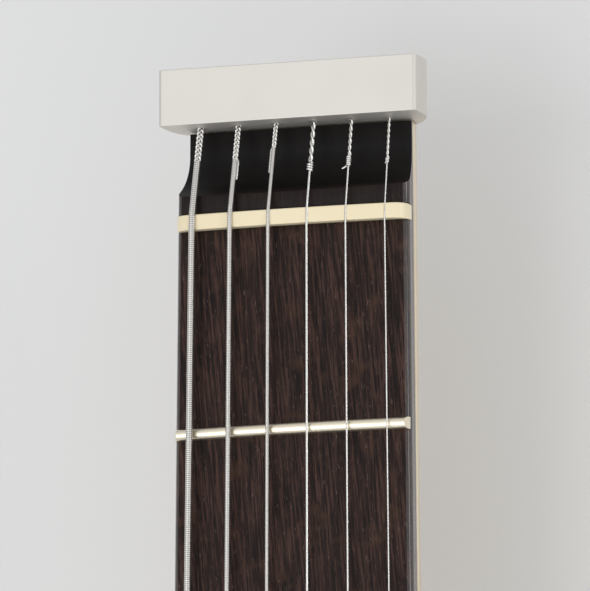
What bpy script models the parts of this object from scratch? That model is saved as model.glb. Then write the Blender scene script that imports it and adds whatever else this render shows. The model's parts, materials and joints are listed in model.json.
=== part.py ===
"""Travel guitar: a headless electric six-string whose tuners sit inside its narrow body.

Sizes are in metres. +Z comes out of the guitar's face, +Y runs to the head and +X to the treble side.
The origin lies on the flat back, on the centre line, below the saddle line. The strings hang by their
ball ends in the head block, pass the nut, the frets and the bridge, turn round rollers at the tail and
come back below the bridge to the tuner posts in the middle of the body.
"""

import math

import bmesh
import bpy
from mathutils import Matrix, Vector

# Clearances between pieces
FIT = 0.0003  # between two pieces that touch
RUN = 0.0004  # round a piece that turns or slides

# Scale, frets and strings
SCALE_LENGTH = 0.62865  # nut's front edge to the saddle line
FRET_COUNT = 22
STRING_DIAMETERS = (0.00117, 0.00091, 0.00066, 0.00043, 0.00033, 0.00025)
STRING_SPREAD = 0.03484  # outer string to outer string at the nut
STRING_FAN = 0.0228  # how much the spread grows for each metre towards the tail
STRING_OVER_NUT = 0.00145  # board's crown to a string's underside at the nut
STRING_RISE = 0.0020  # how much a string climbs for each metre towards the saddle

# Fingerboard
BOARD_WIDTH = 0.04207  # at the nut
BOARD_FAN = 0.019
BOARD_THICKNESS = 0.00605
BOARD_CROWN = 0.305  # radius of the playing surface
BOARD_UNDERCUT = 0.00089  # how far each side leans in on its way to the glue line
BOARD_PAST_LAST_FRET = 0.008
FRET_WIDTH = 0.00204
FRET_HEIGHT = 0.0011
FRET_INSET = 0.0009
FRET_SEAT = 0.0006

# Nut and the scooped shelf behind it
NUT_THICKNESS = 0.00267
NUT_TOP = 0.00175  # above the board's crown
NUT_SEAT = 0.0049  # below the board's crown
SHELF_LENGTH = 0.0059  # nut's front edge to the start of the scoop
SCOOP_DEPTH = 0.0051
SCOOP_RADIUS = 0.0086

# Head block
BLOCK_FROM_NUT = 0.01813
BLOCK_LENGTH = 0.00982
BLOCK_HALF_WIDTH = 0.0235
BLOCK_FRONT = 0.0024  # above the board's crown
BLOCK_SIDE = 0.004
BLOCK_ROUND = 0.016
BLOCK_SPREAD = 0.0343
BLOCK_HOLE_DEPTH = 0.0022  # string hole's axis below the board's crown
BLOCK_HOLE_RADIUS = 0.0016
BALL_RADIUS = 0.0019
BALL_LENGTH = 0.0035
BALL_POCKET = 0.0060
BLOCK_SCREW_X = 0.0085
BLOCK_SCREW_DEPTH = 0.0105
SCREW_HEAD_RADIUS = 0.0035
SCREW_HEAD_HEIGHT = 0.0040
SCREW_RADIUS = 0.0020
SCREW_LENGTH = 0.022
TWIST_LENGTH = 0.0075
TWIST_SWELL = 1.8

# Neck and body
NECK_DEPTH = 0.014  # glue line to the back of the neck
HEEL_LENGTH = 0.030
BODY_DEPTH = 0.044
BODY_HALF_WIDTH = 0.0665
TAIL = -0.0545
SHOULDER = 0.216
ROLLER_Y = -0.045
ROLLER_WIDTH = 0.0088
ROLLER_TO_WALL = 0.001
TAIL_STRING_X = (STRING_SPREAD + STRING_FAN * (SCALE_LENGTH - ROLLER_Y)) / 2
CHANNEL_HALF_WIDTH = TAIL_STRING_X + ROLLER_WIDTH / 2 + ROLLER_TO_WALL
CHANNEL_WALL = 0.0055
SPINE_HALF_WIDTH = CHANNEL_HALF_WIDTH + CHANNEL_WALL
WING_WIDTH = BODY_HALF_WIDTH - SPINE_HALF_WIDTH
TAIL_FLAT = 0.0065  # from the spine to where the wing's round corner starts
SHOULDER_FLAT_BASS = 0.0105
SHOULDER_FLAT_TREBLE = 0.0015
TAIL_ROUND = WING_WIDTH - TAIL_FLAT
SHOULDER_ROUND_BASS = WING_WIDTH - SHOULDER_FLAT_BASS
SHOULDER_ROUND_TREBLE = WING_WIDTH - SHOULDER_FLAT_TREBLE
BODY_EDGE = 0.0025
RIM_THICKNESS = 0.007
OPENING_OUTER = BODY_HALF_WIDTH - RIM_THICKNESS
OPENING_START = 0.046
OPENING_END = 0.160
OPENING_ROUND = 0.010
CHANNEL_DEPTH = 0.018
CHANNEL_FLOOR = BODY_DEPTH - CHANNEL_DEPTH
CHANNEL_TO_BOARD = 0.0103
POCKET_WALL = 0.005
POCKET_HALF_WIDTH = SPINE_HALF_WIDTH - POCKET_WALL
POCKET_START = 0.042
POCKET_END = 0.150
POCKET_ROOF = 0.016
COVER_LEDGE = 0.0025
COVER_THICKNESS = 0.0017
COVER_RECESS = 0.0024

# Truss rod
ROD_RADIUS = 0.0030
ROD_DEPTH = 0.0045  # rod's axis below the glue line
ROD_TO_NUT = 0.0287
ROD_HEIGHT = BODY_DEPTH - ROD_DEPTH
ROD_HEAD_END = SCALE_LENGTH - ROD_TO_NUT
WHEEL_RADIUS = 0.0055
WHEEL_WIDTH = 0.0065
WHEEL_TO_BOARD = 0.0009

# Bridge
STUD_TO_SPINE = 0.0055
STUD_X = SPINE_HALF_WIDTH + STUD_TO_SPINE
BRIDGE_PAST_STUD = 0.0055
BRIDGE_HALF_LENGTH = STUD_X + BRIDGE_PAST_STUD
BRIDGE_WIDTH = 0.012
BRIDGE_BEHIND = 0.0020  # how far the bar runs past the saddle line towards the tail
BRIDGE_LIFT = 0.0028  # bar's underside above the face
BRIDGE_UNDERSIDE = BODY_DEPTH + BRIDGE_LIFT
BRIDGE_SHOULDER = 0.004  # outer string to where the bar's crown ends
BRIDGE_END_DROP = 0.002
BRIDGE_EDGE = 0.0018
STUD_Y = 0.004
STUD_RADIUS = 0.003
STUD_DEPTH = 0.014
STUD_PROUD = 0.006
STUD_TOP = BODY_DEPTH + STUD_PROUD
THUMBWHEEL_RADIUS = 0.0050
THUMBWHEEL_HEIGHT = 0.0016

# Pickup
PICKUP_Y = 0.034
PICKUP_TO_JOINT = 0.001  # case's end to the joint between spine and wing
PICKUP_HALF_LENGTH = SPINE_HALF_WIDTH - PICKUP_TO_JOINT
PICKUP_HALF_WIDTH = 0.0085
PICKUP_PROUD = 0.005
PICKUP_TOP = BODY_DEPTH + PICKUP_PROUD
EAR_PAST_JOINT = 0.009
EAR_HALF_LENGTH = SPINE_HALF_WIDTH + EAR_PAST_JOINT
EAR_THICKNESS = 0.002
LEDGE_DEPTH = 0.009
PICKUP_LEDGE = BODY_DEPTH - LEDGE_DEPTH
SCREW_PAST_JOINT = 0.005
PICKUP_SCREW_X = SPINE_HALF_WIDTH + SCREW_PAST_JOINT
PICKUP_SCREW_RADIUS = 0.0014
PICKUP_SCREW_HEAD = 0.0028
PICKUP_SCREW_LENGTH = 0.009

# Tail rollers
ROLLER_DEPTH = 0.006  # axle's axis below the face
ROLLER_Z = BODY_DEPTH - ROLLER_DEPTH
ROLLER_GROOVE = 0.0066
ROLLER_RIM = 0.0078
AXLE_RADIUS = 0.0025
AXLE_TO_JOINT = 0.0015
AXLE_HALF_LENGTH = SPINE_HALF_WIDTH - AXLE_TO_JOINT

# Tuners: three on each side, the nearest to the tail first
TUNER_START = 0.052
TUNER_PITCH = 0.040
TUNERS_A_SIDE = 3
POST_INSET = 0.0026  # outer posts from the outer strings' line at the tail
POST_X = TAIL_STRING_X - POST_INSET
POST_STEP = 0.003  # how much nearer to the centre line each next post stands
POST_RADIUS = 0.003
POST_DEPTH = 0.0085
POST_TOP = BODY_DEPTH - POST_DEPTH
POST_FOOT = 0.0056
POST_WAIST = 0.0026  # radius where the string winds on
POST_CHAMFER = 0.0006
WRAP_DEPTH = 0.0122
WRAP_TOP = BODY_DEPTH - WRAP_DEPTH
WRAP_GAP = 0.0005  # between a string's turns
WAIST_LENGTH = 0.003
WOUND_TURNS = 2
PLAIN_TURNS = 3
GEAR_RADIUS = 0.0060
GEAR_TOOTH = 0.0008
GEAR_TEETH = 14
GEAR_THICKNESS = 0.004
WORM_Z = 0.010
WORM_OFFSET = 0.0088
WORM_RADIUS = 0.0024
WORM_LENGTH = 0.010
SHAFT_RADIUS = 0.0015
BUTTON_REACH = 0.022  # post's axis to the button's near end
BUTTON_SHARE = 0.404  # button's length as a share of the opening's width
BUTTON_LENGTH = (OPENING_OUTER - SPINE_HALF_WIDTH) * BUTTON_SHARE
BUTTON_RADIUS = 0.0080
BUTTON_THICKNESS = 0.0050
HOUSING_INNER = 0.009
HOUSING_OUTER = 0.008
HOUSING_BACK = 0.0078
HOUSING_WALL = 0.0012
HOUSING_FLOOR = 0.0043
SLEEVE_RADIUS = 0.0046
SLEEVE_PROUD = 0.0012

# Electrics
CAVITY_TO_JOINT = 0.002
CAVITY_INNER = SPINE_HALF_WIDTH + CAVITY_TO_JOINT
CAVITY_WALL = 0.007
CAVITY_OUTER = BODY_HALF_WIDTH - CAVITY_WALL
CAVITY_WIDTH = CAVITY_OUTER - CAVITY_INNER
CAVITY_START = -0.046
CAVITY_END = -0.010
CAVITY_ROUND = TAIL_ROUND / 2  # the outer tail corner, which follows the body's
FACE_THICKNESS = 0.0065  # wood left over the cavity
CAVITY_ROOF = BODY_DEPTH - FACE_THICKNESS
POT_SHIFT = 0.00075  # pot's axis from the cavity's middle
POT_X = CAVITY_INNER + CAVITY_WIDTH / 2 - POT_SHIFT
POT_Y = -0.028
POT_ROOM = 0.00275
POT_RADIUS = CAVITY_WIDTH / 2 - POT_ROOM
POT_HEIGHT = 0.0095
BUSH_RADIUS = 0.0045
BUSH_PROUD = 0.003
BUSH_TOP = BODY_DEPTH + BUSH_PROUD
POT_SHAFT_RADIUS = 0.0030
POT_SHAFT_DEPTH = 0.010
POT_SHAFT_FOOT = BODY_DEPTH - POT_SHAFT_DEPTH
KNOB_RADIUS = 0.0095
KNOB_LIFT = 0.0012
KNOB_BOTTOM = BODY_DEPTH + KNOB_LIFT
KNOB_PROUD = 0.015
KNOB_TOP = BODY_DEPTH + KNOB_PROUD
KNOB_CHAMFER = 0.001
JACK_Z = 0.014
JACK_BODY_RADIUS = 0.0062
JACK_ROOM = 0.0025
JACK_BODY_LENGTH = CAVITY_WIDTH - JACK_ROOM
JACK_BARREL_RADIUS = 0.0045
JACK_BORE_RADIUS = 0.0033
JACK_BORE_EXTRA = 0.007
JACK_BORE_DEPTH = JACK_BODY_LENGTH + JACK_BORE_EXTRA
JACK_PROUD = 0.0026
JACK_NUT_RADIUS = 0.0070
JACK_NUT_THICKNESS = 0.0020

# Strap buttons and the lap rest
STRAP_RADIUS = 0.0070
STRAP_WAIST = 0.0035
STRAP_LENGTH = 0.012
STRAP_RIM = 0.0016  # thickness of the outer flange's edge
STRAP_FOOT = 0.002
STRAP_CHAMFER = 0.0012
TAIL_STRAP_Z = 0.0135
STRAP_TO_JOINT = 0.0075
SHOULDER_STRAP_X = SPINE_HALF_WIDTH + STRAP_TO_JOINT
SIDE_HEIGHT = BODY_DEPTH / 2  # shoulder strap button and lap rest above the back
REST_RADIUS = 0.0035
REST_LEGS = (0.020, 0.172)
REST_REACH = 0.118
REST_STRAIGHT = 0.006  # how far each leg runs straight out of the body
REST_FLATNESS = 0.6  # 1 makes the bow half an ellipse, less makes it squarer
SOCKET_TO_JOINT = 0.0065
SOCKET_DEPTH = WING_WIDTH - SOCKET_TO_JOINT
SLEEVE_WALL = 0.003
SLEEVE_START = 0.30  # share of the rod's length where the soft sleeve starts

# Facets
ROUND = 16
SMALL_ROUND = 10
WRAP_POINTS = 14

BOARD_TOP = BODY_DEPTH + FIT + BOARD_THICKNESS
LAST_FRET = SCALE_LENGTH * 2 ** (-FRET_COUNT / 12)
BOARD_END = LAST_FRET - BOARD_PAST_LAST_FRET
BLOCK_Y = SCALE_LENGTH + BLOCK_FROM_NUT
BLOCK_TOP_Y = BLOCK_Y + BLOCK_LENGTH
BLOCK_HOLE_Z = BOARD_TOP - BLOCK_HOLE_DEPTH
CHANNEL_END = BOARD_END - CHANNEL_TO_BOARD
BEYOND = 0.002  # how far a cutter runs past the face it opens

PARTS = "travel_guitar"
CUTTERS = "cutters"


def clear_scene():
    """Empty the scene and make the two collections."""
    for old in list(bpy.data.objects):
        bpy.data.objects.remove(old, do_unlink=True)
    for name in (PARTS, CUTTERS):
        bpy.context.scene.collection.children.link(bpy.data.collections.new(name))


def finish(name, colour, roughness, metallic):
    """A plain Principled material."""
    made = bpy.data.materials.new(name)
    made.use_nodes = True
    shader = made.node_tree.nodes["Principled BSDF"]
    shader.inputs["Base Color"].default_value = (*colour, 1.0)
    shader.inputs["Roughness"].default_value = roughness
    shader.inputs["Metallic"].default_value = metallic
    return made


def move_to(piece, collection):
    """Put an object in one collection only."""
    for home in list(piece.users_collection):
        home.objects.unlink(piece)
    bpy.data.collections[collection].objects.link(piece)


def part(piece, name, material, smooth=None):
    """Name an object as a node and give it its material."""
    piece.name = name
    piece.data.name = name
    piece.data.materials.clear()
    piece.data.materials.append(material)
    if smooth:
        piece.data.shade_smooth()
        piece.data.set_sharp_from_angle(angle=math.radians(smooth))
    move_to(piece, PARTS)
    return piece


def tool(piece):
    """Keep an object as a cutter."""
    piece.hide_render = True
    piece.display_type = "WIRE"
    move_to(piece, CUTTERS)
    return piece


def boolean(piece, cutter, operation="DIFFERENCE"):
    """Cut a piece with another object, or join that object to it."""
    modifier = piece.modifiers.new(operation.title(), "BOOLEAN")
    modifier.operation = operation
    modifier.object = tool(cutter)
    return piece


def new_object(name, data):
    """An object for a mesh or a curve, in the parts' collection."""
    piece = bpy.data.objects.new(name, data)
    bpy.data.collections[PARTS].objects.link(piece)
    return piece


def as_mesh(curve):
    """Turn a curve object into a welded mesh object."""
    evaluated = curve.evaluated_get(bpy.context.evaluated_depsgraph_get())
    mesh = bpy.data.meshes.new_from_object(evaluated)
    form = bmesh.new()
    form.from_mesh(mesh)
    bmesh.ops.remove_doubles(form, verts=form.verts, dist=1e-6)
    bmesh.ops.recalc_face_normals(form, faces=form.faces)
    form.to_mesh(mesh)
    form.free()
    piece = new_object(curve.name, mesh)
    piece.matrix_world = curve.matrix_world
    bpy.data.objects.remove(curve, do_unlink=True)
    return piece


def box(low, high):
    """A box between two corners."""
    low, high = Vector(low), Vector(high)
    bpy.ops.mesh.primitive_cube_add(size=1, location=(low + high) / 2)
    piece = bpy.context.object
    piece.data.transform(Matrix.Diagonal((*(high - low), 1)))
    return piece


def cylinder(radius, start, end, facets=ROUND):
    """A cylinder from one point to another."""
    start, end = Vector(start), Vector(end)
    along = end - start
    bpy.ops.mesh.primitive_cylinder_add(
        vertices=facets, radius=radius, depth=along.length, location=(start + end) / 2
    )
    piece = bpy.context.object
    piece.rotation_mode = "QUATERNION"
    piece.rotation_quaternion = along.to_track_quat("Z", "Y")
    return piece


def turned(profile, location=(0, 0, 0), axis="Z", facets=ROUND, closed=False):
    """A profile of (radius, height) points, from the top down its outer side, turned round an axis."""
    mesh = bpy.data.meshes.new("turned")
    points = [(radius, 0, height) for radius, height in profile]
    edges = [(i, i + 1) for i in range(len(points) - 1)]
    if closed:
        edges.append((len(points) - 1, 0))
    mesh.from_pydata(points, edges, [])
    piece = new_object("turned", mesh)
    screw = piece.modifiers.new("Turn", "SCREW")
    screw.steps = screw.render_steps = facets
    screw.use_merge_vertices = True
    screw.merge_threshold = 1e-5
    piece.location = location
    turns = {"Z": (0, 0, 0), "X": (0, math.pi / 2, 0), "Y": (-math.pi / 2, 0, 0)}
    turns["-X"] = (0, -math.pi / 2, 0)
    turns["-Y"] = (math.pi / 2, 0, 0)
    piece.rotation_euler = turns[axis]
    return piece


def prism(outline, low, high, axis="Z"):
    """A flat outline given thickness along Z, or along Y where the outline lies in X and Z."""
    curve = bpy.data.curves.new("prism", "CURVE")
    curve.dimensions = "2D"
    curve.fill_mode = "BOTH"
    curve.extrude = (high - low) / 2
    spline = curve.splines.new("POLY")
    spline.points.add(len(outline) - 1)
    for point, (across, up) in zip(spline.points, outline):
        point.co = (across, up, 0, 1)
    spline.use_cyclic_u = True
    piece = new_object("prism", curve)
    if axis == "Y":
        piece.rotation_euler = (math.pi / 2, 0, 0)
        piece.location = (0, (low + high) / 2, 0)
    else:
        piece.location = (0, 0, (low + high) / 2)
    bpy.context.view_layer.update()
    return as_mesh(piece)


def tube(points, radius, radii=None, sides=1):
    """A round wire or rod through points, with an optional share of its radius at each."""
    curve = bpy.data.curves.new("tube", "CURVE")
    curve.dimensions = "3D"
    curve.bevel_depth = radius
    curve.bevel_resolution = sides
    curve.use_fill_caps = True
    spline = curve.splines.new("POLY")
    spline.points.add(len(points) - 1)
    for index, place in enumerate(points):
        spline.points[index].co = (*place, 1)
        spline.points[index].radius = radii[index] if radii else 1
    return new_object("tube", curve)


def loft(sections):
    """A solid through rings that have the same number of points."""
    mesh = bpy.data.meshes.new("loft")
    form = bmesh.new()
    rings = [[form.verts.new(point) for point in section] for section in sections]
    for ring, following in zip(rings, rings[1:]):
        for here in range(len(ring)):
            beside = (here + 1) % len(ring)
            form.faces.new((ring[here], ring[beside], following[beside], following[here]))
    form.faces.new(rings[0])
    form.faces.new(rings[-1])
    bmesh.ops.recalc_face_normals(form, faces=form.faces)
    form.to_mesh(mesh)
    form.free()
    return new_object("loft", mesh)


def rounded(corners, steps=4):
    """An outline whose corners, (x, y, radius), are rounded by arcs."""
    outline = []
    for index, (x, y, radius) in enumerate(corners):
        corner = Vector((x, y))
        if not radius:
            outline.append(corner)
            continue
        before = (Vector(corners[index - 1][:2]) - corner).normalized()
        after = (Vector(corners[(index + 1) % len(corners)][:2]) - corner).normalized()
        centre = corner + (before + after) * radius
        for step in range(steps + 1):
            turn = step / steps * math.pi / 2
            outline.append(centre - after * radius * math.cos(turn) - before * radius * math.sin(turn))
    return outline


def soften(piece, width, segments, wanted):
    """Round the sharp edges of a mesh whose two ends pass a test."""
    form = bmesh.new()
    form.from_mesh(piece.data)
    edges = [
        edge
        for edge in form.edges
        if len(edge.link_faces) == 2
        and edge.calc_face_angle() > math.radians(50)
        and all(wanted(piece.matrix_world @ vertex.co) for vertex in edge.verts)
    ]
    bmesh.ops.bevel(form, geom=edges, offset=width, segments=segments, affect="EDGES", profile=0.5)
    form.to_mesh(piece.data)
    form.free()
    return piece


def crown(x):
    """Height of the board's playing surface at a distance from the centre line."""
    return BOARD_TOP - BOARD_CROWN + math.sqrt(BOARD_CROWN**2 - x**2)


def board_half_width(y):
    """Half of the board's width at a distance along the neck."""
    return (BOARD_WIDTH + BOARD_FAN * (SCALE_LENGTH - y)) / 2


def string_x(index, y):
    """Distance of a string from the centre line."""
    spread = STRING_SPREAD + STRING_FAN * (SCALE_LENGTH - y)
    return spread * (index / 5 - 0.5)


def string_z(index, y):
    """Height of a string's axis between the nut and the saddle."""
    over_board = STRING_OVER_NUT + STRING_RISE * (SCALE_LENGTH - y)
    return crown(string_x(index, y)) + over_board + STRING_DIAMETERS[index] / 2


def block_hole_x(index):
    """Distance of a string's hole in the head block from the centre line."""
    return BLOCK_SPREAD * (index / 5 - 0.5)


def tuner_side(index):
    """-1 for the three bass strings' tuners, 1 for the treble ones."""
    return -1 if index < TUNERS_A_SIDE else 1


def tuner_place(index):
    """X and Y of a string's tuner post: the outer strings go to the posts nearest to the tail."""
    row = index if index < TUNERS_A_SIDE else 2 * TUNERS_A_SIDE - 1 - index
    return tuner_side(index) * (POST_X - POST_STEP * row), TUNER_START + TUNER_PITCH * row


def neck_section(y, depth):
    """The D of the neck's back at one place: flat below the board, half an ellipse behind."""
    half = board_half_width(y) - BOARD_UNDERCUT
    turns = [math.pi * step / 12 for step in range(13)]
    return [(-half * math.cos(turn), y, BODY_DEPTH - depth * math.sin(turn)) for turn in turns]


def make_beam(wood):
    """The neck and the body's spine, cut from one length of wood."""
    low, high = TAIL, SHOULDER
    beam = box((-SPINE_HALF_WIDTH, low, 0), (SPINE_HALF_WIDTH, high, BODY_DEPTH))
    stations = [(high - 4 * BEYOND, BODY_DEPTH - FIT)]
    for step in range(6):
        share = step / 5
        swell = (1 - math.sin(share * math.pi / 2)) * (BODY_DEPTH - FIT - NECK_DEPTH)
        stations.append((high + share * HEEL_LENGTH, NECK_DEPTH + swell))
    stations.append((BLOCK_Y - FIT, NECK_DEPTH))
    boolean(beam, loft([neck_section(y, depth) for y, depth in stations]), "UNION")

    half = CHANNEL_HALF_WIDTH
    top = BODY_DEPTH + BEYOND
    boolean(beam, box((-half, low - BEYOND, CHANNEL_FLOOR), (half, CHANNEL_END, top)))
    half = POCKET_HALF_WIDTH
    boolean(beam, box((-half, POCKET_START, -BEYOND), (half, POCKET_END, POCKET_ROOF)))
    half += COVER_LEDGE
    start, end = POCKET_START - COVER_LEDGE, POCKET_END + COVER_LEDGE
    boolean(beam, box((-half, start, -BEYOND), (half, end, COVER_RECESS)))
    half = SPINE_HALF_WIDTH + BEYOND
    reach = PICKUP_HALF_WIDTH + 2 * FIT
    boolean(beam, box((-half, PICKUP_Y - reach, PICKUP_LEDGE), (half, PICKUP_Y + reach, top)))
    wheel_room = WHEEL_RADIUS + 4 * RUN
    bottom = ROD_HEIGHT - WHEEL_RADIUS - RUN
    boolean(beam, box((-wheel_room, CHANNEL_END - BEYOND, bottom), (wheel_room, BOARD_END, top)))
    groove = ROD_RADIUS + RUN
    boolean(beam, box((-groove, BOARD_END - BEYOND, ROD_HEIGHT - groove), (groove, ROD_HEAD_END + RUN, top)))
    half = SPINE_HALF_WIDTH + BEYOND
    boolean(beam, cylinder(AXLE_RADIUS + FIT, (-half, ROLLER_Y, ROLLER_Z), (half, ROLLER_Y, ROLLER_Z)))
    for index in range(len(STRING_DIAMETERS)):
        x, y = tuner_place(index)
        side = tuner_side(index)
        bore = SLEEVE_RADIUS + FIT
        boolean(beam, cylinder(bore, (x, y, POCKET_ROOF - BEYOND), (x, y, CHANNEL_FLOOR + BEYOND)))
        y += WORM_OFFSET
        inner = side * (POCKET_HALF_WIDTH - BEYOND)
        bore = SHAFT_RADIUS + RUN
        boolean(beam, cylinder(bore, (inner, y, WORM_Z), (side * half, y, WORM_Z), SMALL_ROUND))
    for side in (-1, 1):
        x, z = side * BLOCK_SCREW_X, BOARD_TOP - BLOCK_SCREW_DEPTH
        deep = BLOCK_TOP_Y - SCREW_HEAD_HEIGHT - SCREW_LENGTH - 2 * FIT
        boolean(beam, cylinder(SCREW_RADIUS + FIT, (x, deep, z), (x, BLOCK_Y + BEYOND, z), SMALL_ROUND))
    pilot = STRAP_WAIST - FIT
    boolean(beam, cylinder(pilot, (0, low - BEYOND, TAIL_STRAP_Z), (0, low + STRAP_LENGTH, TAIL_STRAP_Z)))
    return part(beam, "neck_through_beam", wood, smooth=35)


def make_wing(side, wood):
    """One side of the body: a C of wood that leaves a finger opening beside the spine."""
    inner = SPINE_HALF_WIDTH + FIT
    shoulder_round = SHOULDER_ROUND_TREBLE if side > 0 else SHOULDER_ROUND_BASS
    corners = [
        (inner, TAIL, 0),
        (BODY_HALF_WIDTH, TAIL, TAIL_ROUND),
        (BODY_HALF_WIDTH, SHOULDER, shoulder_round),
        (inner, SHOULDER, 0),
        (inner, OPENING_END, 0),
        (OPENING_OUTER, OPENING_END, OPENING_ROUND),
        (OPENING_OUTER, OPENING_START, OPENING_ROUND),
        (inner, OPENING_START, 0),
    ]
    wing = prism([(side * x, y) for x, y in rounded(corners)], 0, BODY_DEPTH)
    clear = inner + BODY_EDGE
    soften(wing, BODY_EDGE, 2, lambda place: abs(place.x) > clear)
    top = BODY_DEPTH + BEYOND
    start, end = PICKUP_Y - PICKUP_HALF_WIDTH - 2 * FIT, PICKUP_Y + PICKUP_HALF_WIDTH + 2 * FIT
    low, high = sorted((side * (inner - BEYOND), side * (EAR_HALF_LENGTH + FIT)))
    boolean(wing, box((low, start, PICKUP_LEDGE), (high, end, top)))
    x = side * PICKUP_SCREW_X
    foot = PICKUP_LEDGE - PICKUP_SCREW_LENGTH
    boolean(wing, cylinder(PICKUP_SCREW_RADIUS + FIT, (x, PICKUP_Y, foot), (x, PICKUP_Y, top), SMALL_ROUND))
    x = side * STUD_X
    foot = BODY_DEPTH - STUD_DEPTH - RUN
    boolean(wing, cylinder(STUD_RADIUS + RUN, (x, STUD_Y, foot), (x, STUD_Y, top), SMALL_ROUND))
    if side > 0:
        cut_electrics(wing)
        for y in REST_LEGS:
            start = (BODY_HALF_WIDTH - SOCKET_DEPTH, y, SIDE_HEIGHT)
            end = (BODY_HALF_WIDTH + BEYOND, y, SIDE_HEIGHT)
            boolean(wing, cylinder(REST_RADIUS + RUN, start, end))
    else:
        start = (-SHOULDER_STRAP_X, SHOULDER - STRAP_LENGTH, SIDE_HEIGHT)
        end = (-SHOULDER_STRAP_X, SHOULDER + BEYOND, SIDE_HEIGHT)
        boolean(wing, cylinder(STRAP_WAIST - FIT, start, end))
    return part(wing, "treble_wing" if side > 0 else "bass_wing", wood, smooth=35)


def electrics_outline(inner, start, outer, end, radius):
    """The electrics cavity seen from the back, with a round corner where the body has one."""
    return rounded([(inner, start, 0), (outer, start, radius), (outer, end, 0), (inner, end, 0)])


def cut_electrics(wing):
    """The cavity for the volume control and the output jack, with its holes and the cover's recess."""
    hollow = electrics_outline(CAVITY_INNER, CAVITY_START, CAVITY_OUTER, CAVITY_END, CAVITY_ROUND)
    boolean(wing, prism(hollow, -BEYOND, CAVITY_ROOF))
    ledge = COVER_LEDGE
    inner, outer = CAVITY_INNER - ledge / 2, CAVITY_OUTER + ledge
    recess = electrics_outline(inner, CAVITY_START - ledge, outer, CAVITY_END + ledge, CAVITY_ROUND + ledge)
    boolean(wing, prism(recess, -BEYOND, COVER_RECESS))
    start, end = (POT_X, POT_Y, CAVITY_ROOF - BEYOND), (POT_X, POT_Y, BODY_DEPTH + BEYOND)
    boolean(wing, cylinder(BUSH_RADIUS + FIT, start, end))
    start = (CAVITY_OUTER - BEYOND, POT_Y, JACK_Z)
    end = (BODY_HALF_WIDTH + BEYOND, POT_Y, JACK_Z)
    boolean(wing, cylinder(JACK_BARREL_RADIUS + FIT, start, end))


def board_section(y):
    """The board's crowned top and leaning sides at one place."""
    half = board_half_width(y)
    base = half - BOARD_UNDERCUT
    bottom = BODY_DEPTH + FIT
    top = [half * share for share in (1, 0.5, 0, -0.5, -1)]
    return [(-base, y, bottom), (base, y, bottom)] + [(x, y, crown(x)) for x in top]


def fret_bars():
    """All frets as bars that follow the board's crown, with bevelled ends."""
    frets = bmesh.new()
    for number in range(1, FRET_COUNT + 1):
        y = SCALE_LENGTH * 2 ** (-number / 12)
        half = board_half_width(y) - FRET_INSET
        rings = []
        for x, rise in ((-half, 0.15), (-half + FRET_HEIGHT, 1), (0, 1), (half - FRET_HEIGHT, 1), (half, 0.15)):
            base = crown(x)
            shape = ((-0.5, None), (-0.5, 0), (-0.3, 0.75), (0, 1), (0.3, 0.75), (0.5, 0), (0.5, None))
            rings.append([
                frets.verts.new((
                    x,
                    y + across * FRET_WIDTH,
                    base - FRET_SEAT if up is None else base + up * rise * FRET_HEIGHT,
                ))
                for across, up in shape
            ])
        for ring, following in zip(rings, rings[1:]):
            for here in range(len(ring)):
                beside = (here + 1) % len(ring)
                frets.faces.new((ring[here], ring[beside], following[beside], following[here]))
        frets.faces.new(rings[0])
        frets.faces.new(rings[-1])
    bmesh.ops.recalc_face_normals(frets, faces=frets.faces)
    mesh = bpy.data.meshes.new("frets")
    frets.to_mesh(mesh)
    frets.free()
    return new_object("frets", mesh)


def make_fingerboard(wood):
    """The board with its frets, the nut's slot and the scoop that runs down to the head block."""
    board = loft([board_section(BOARD_END), board_section(BLOCK_Y - FIT)])
    boolean(board, fret_bars(), "UNION")
    wide = BOARD_WIDTH
    low = (-wide, SCALE_LENGTH - FIT, BOARD_TOP - NUT_SEAT - FIT)
    high = (wide, SCALE_LENGTH + NUT_THICKNESS + FIT, BOARD_TOP + BEYOND)
    boolean(board, box(low, high))
    rise = SCOOP_RADIUS - SCOOP_DEPTH
    run = math.sqrt(SCOOP_RADIUS**2 - rise**2)
    outline = [(SHELF_LENGTH, BEYOND), (SHELF_LENGTH, 0)]
    start = math.atan2(-rise, -run)
    for step in range(1, 7):
        turn = start + (-math.pi / 2 - start) * step / 6
        outline.append((
            SHELF_LENGTH + run + SCOOP_RADIUS * math.cos(turn),
            rise + SCOOP_RADIUS * math.sin(turn),
        ))
    outline += [(BLOCK_FROM_NUT + BEYOND, -SCOOP_DEPTH), (BLOCK_FROM_NUT + BEYOND, BEYOND)]
    sections = [
        [(x, SCALE_LENGTH + along, BOARD_TOP + up) for along, up in outline] for x in (-wide, wide)
    ]
    boolean(board, loft(sections))
    return part(board, "fingerboard", wood, smooth=35)


def make_nut(bone):
    """The nut: crowned like the board, with a slot for each string, and seated in its own slot."""
    half = board_half_width(SCALE_LENGTH)
    bottom = BOARD_TOP - NUT_SEAT
    lean = BOARD_UNDERCUT * NUT_SEAT / BOARD_THICKNESS
    outline = [(-half, crown(half) + NUT_TOP)]
    for index, diameter in enumerate(STRING_DIAMETERS):
        x = string_x(index, SCALE_LENGTH)
        reach = diameter / 2 + FIT
        axis = string_z(index, SCALE_LENGTH)
        top = crown(x) + NUT_TOP
        outline += [(x - reach, top), (x - reach, axis), (x - reach / 2, axis - reach)]
        outline += [(x + reach / 2, axis - reach), (x + reach, axis), (x + reach, top)]
    outline += [(half, crown(half) + NUT_TOP), (half - lean, bottom), (-half + lean, bottom)]
    nut = prism(outline, SCALE_LENGTH, SCALE_LENGTH + NUT_THICKNESS, axis="Y")
    return part(nut, "nut", bone)


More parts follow.
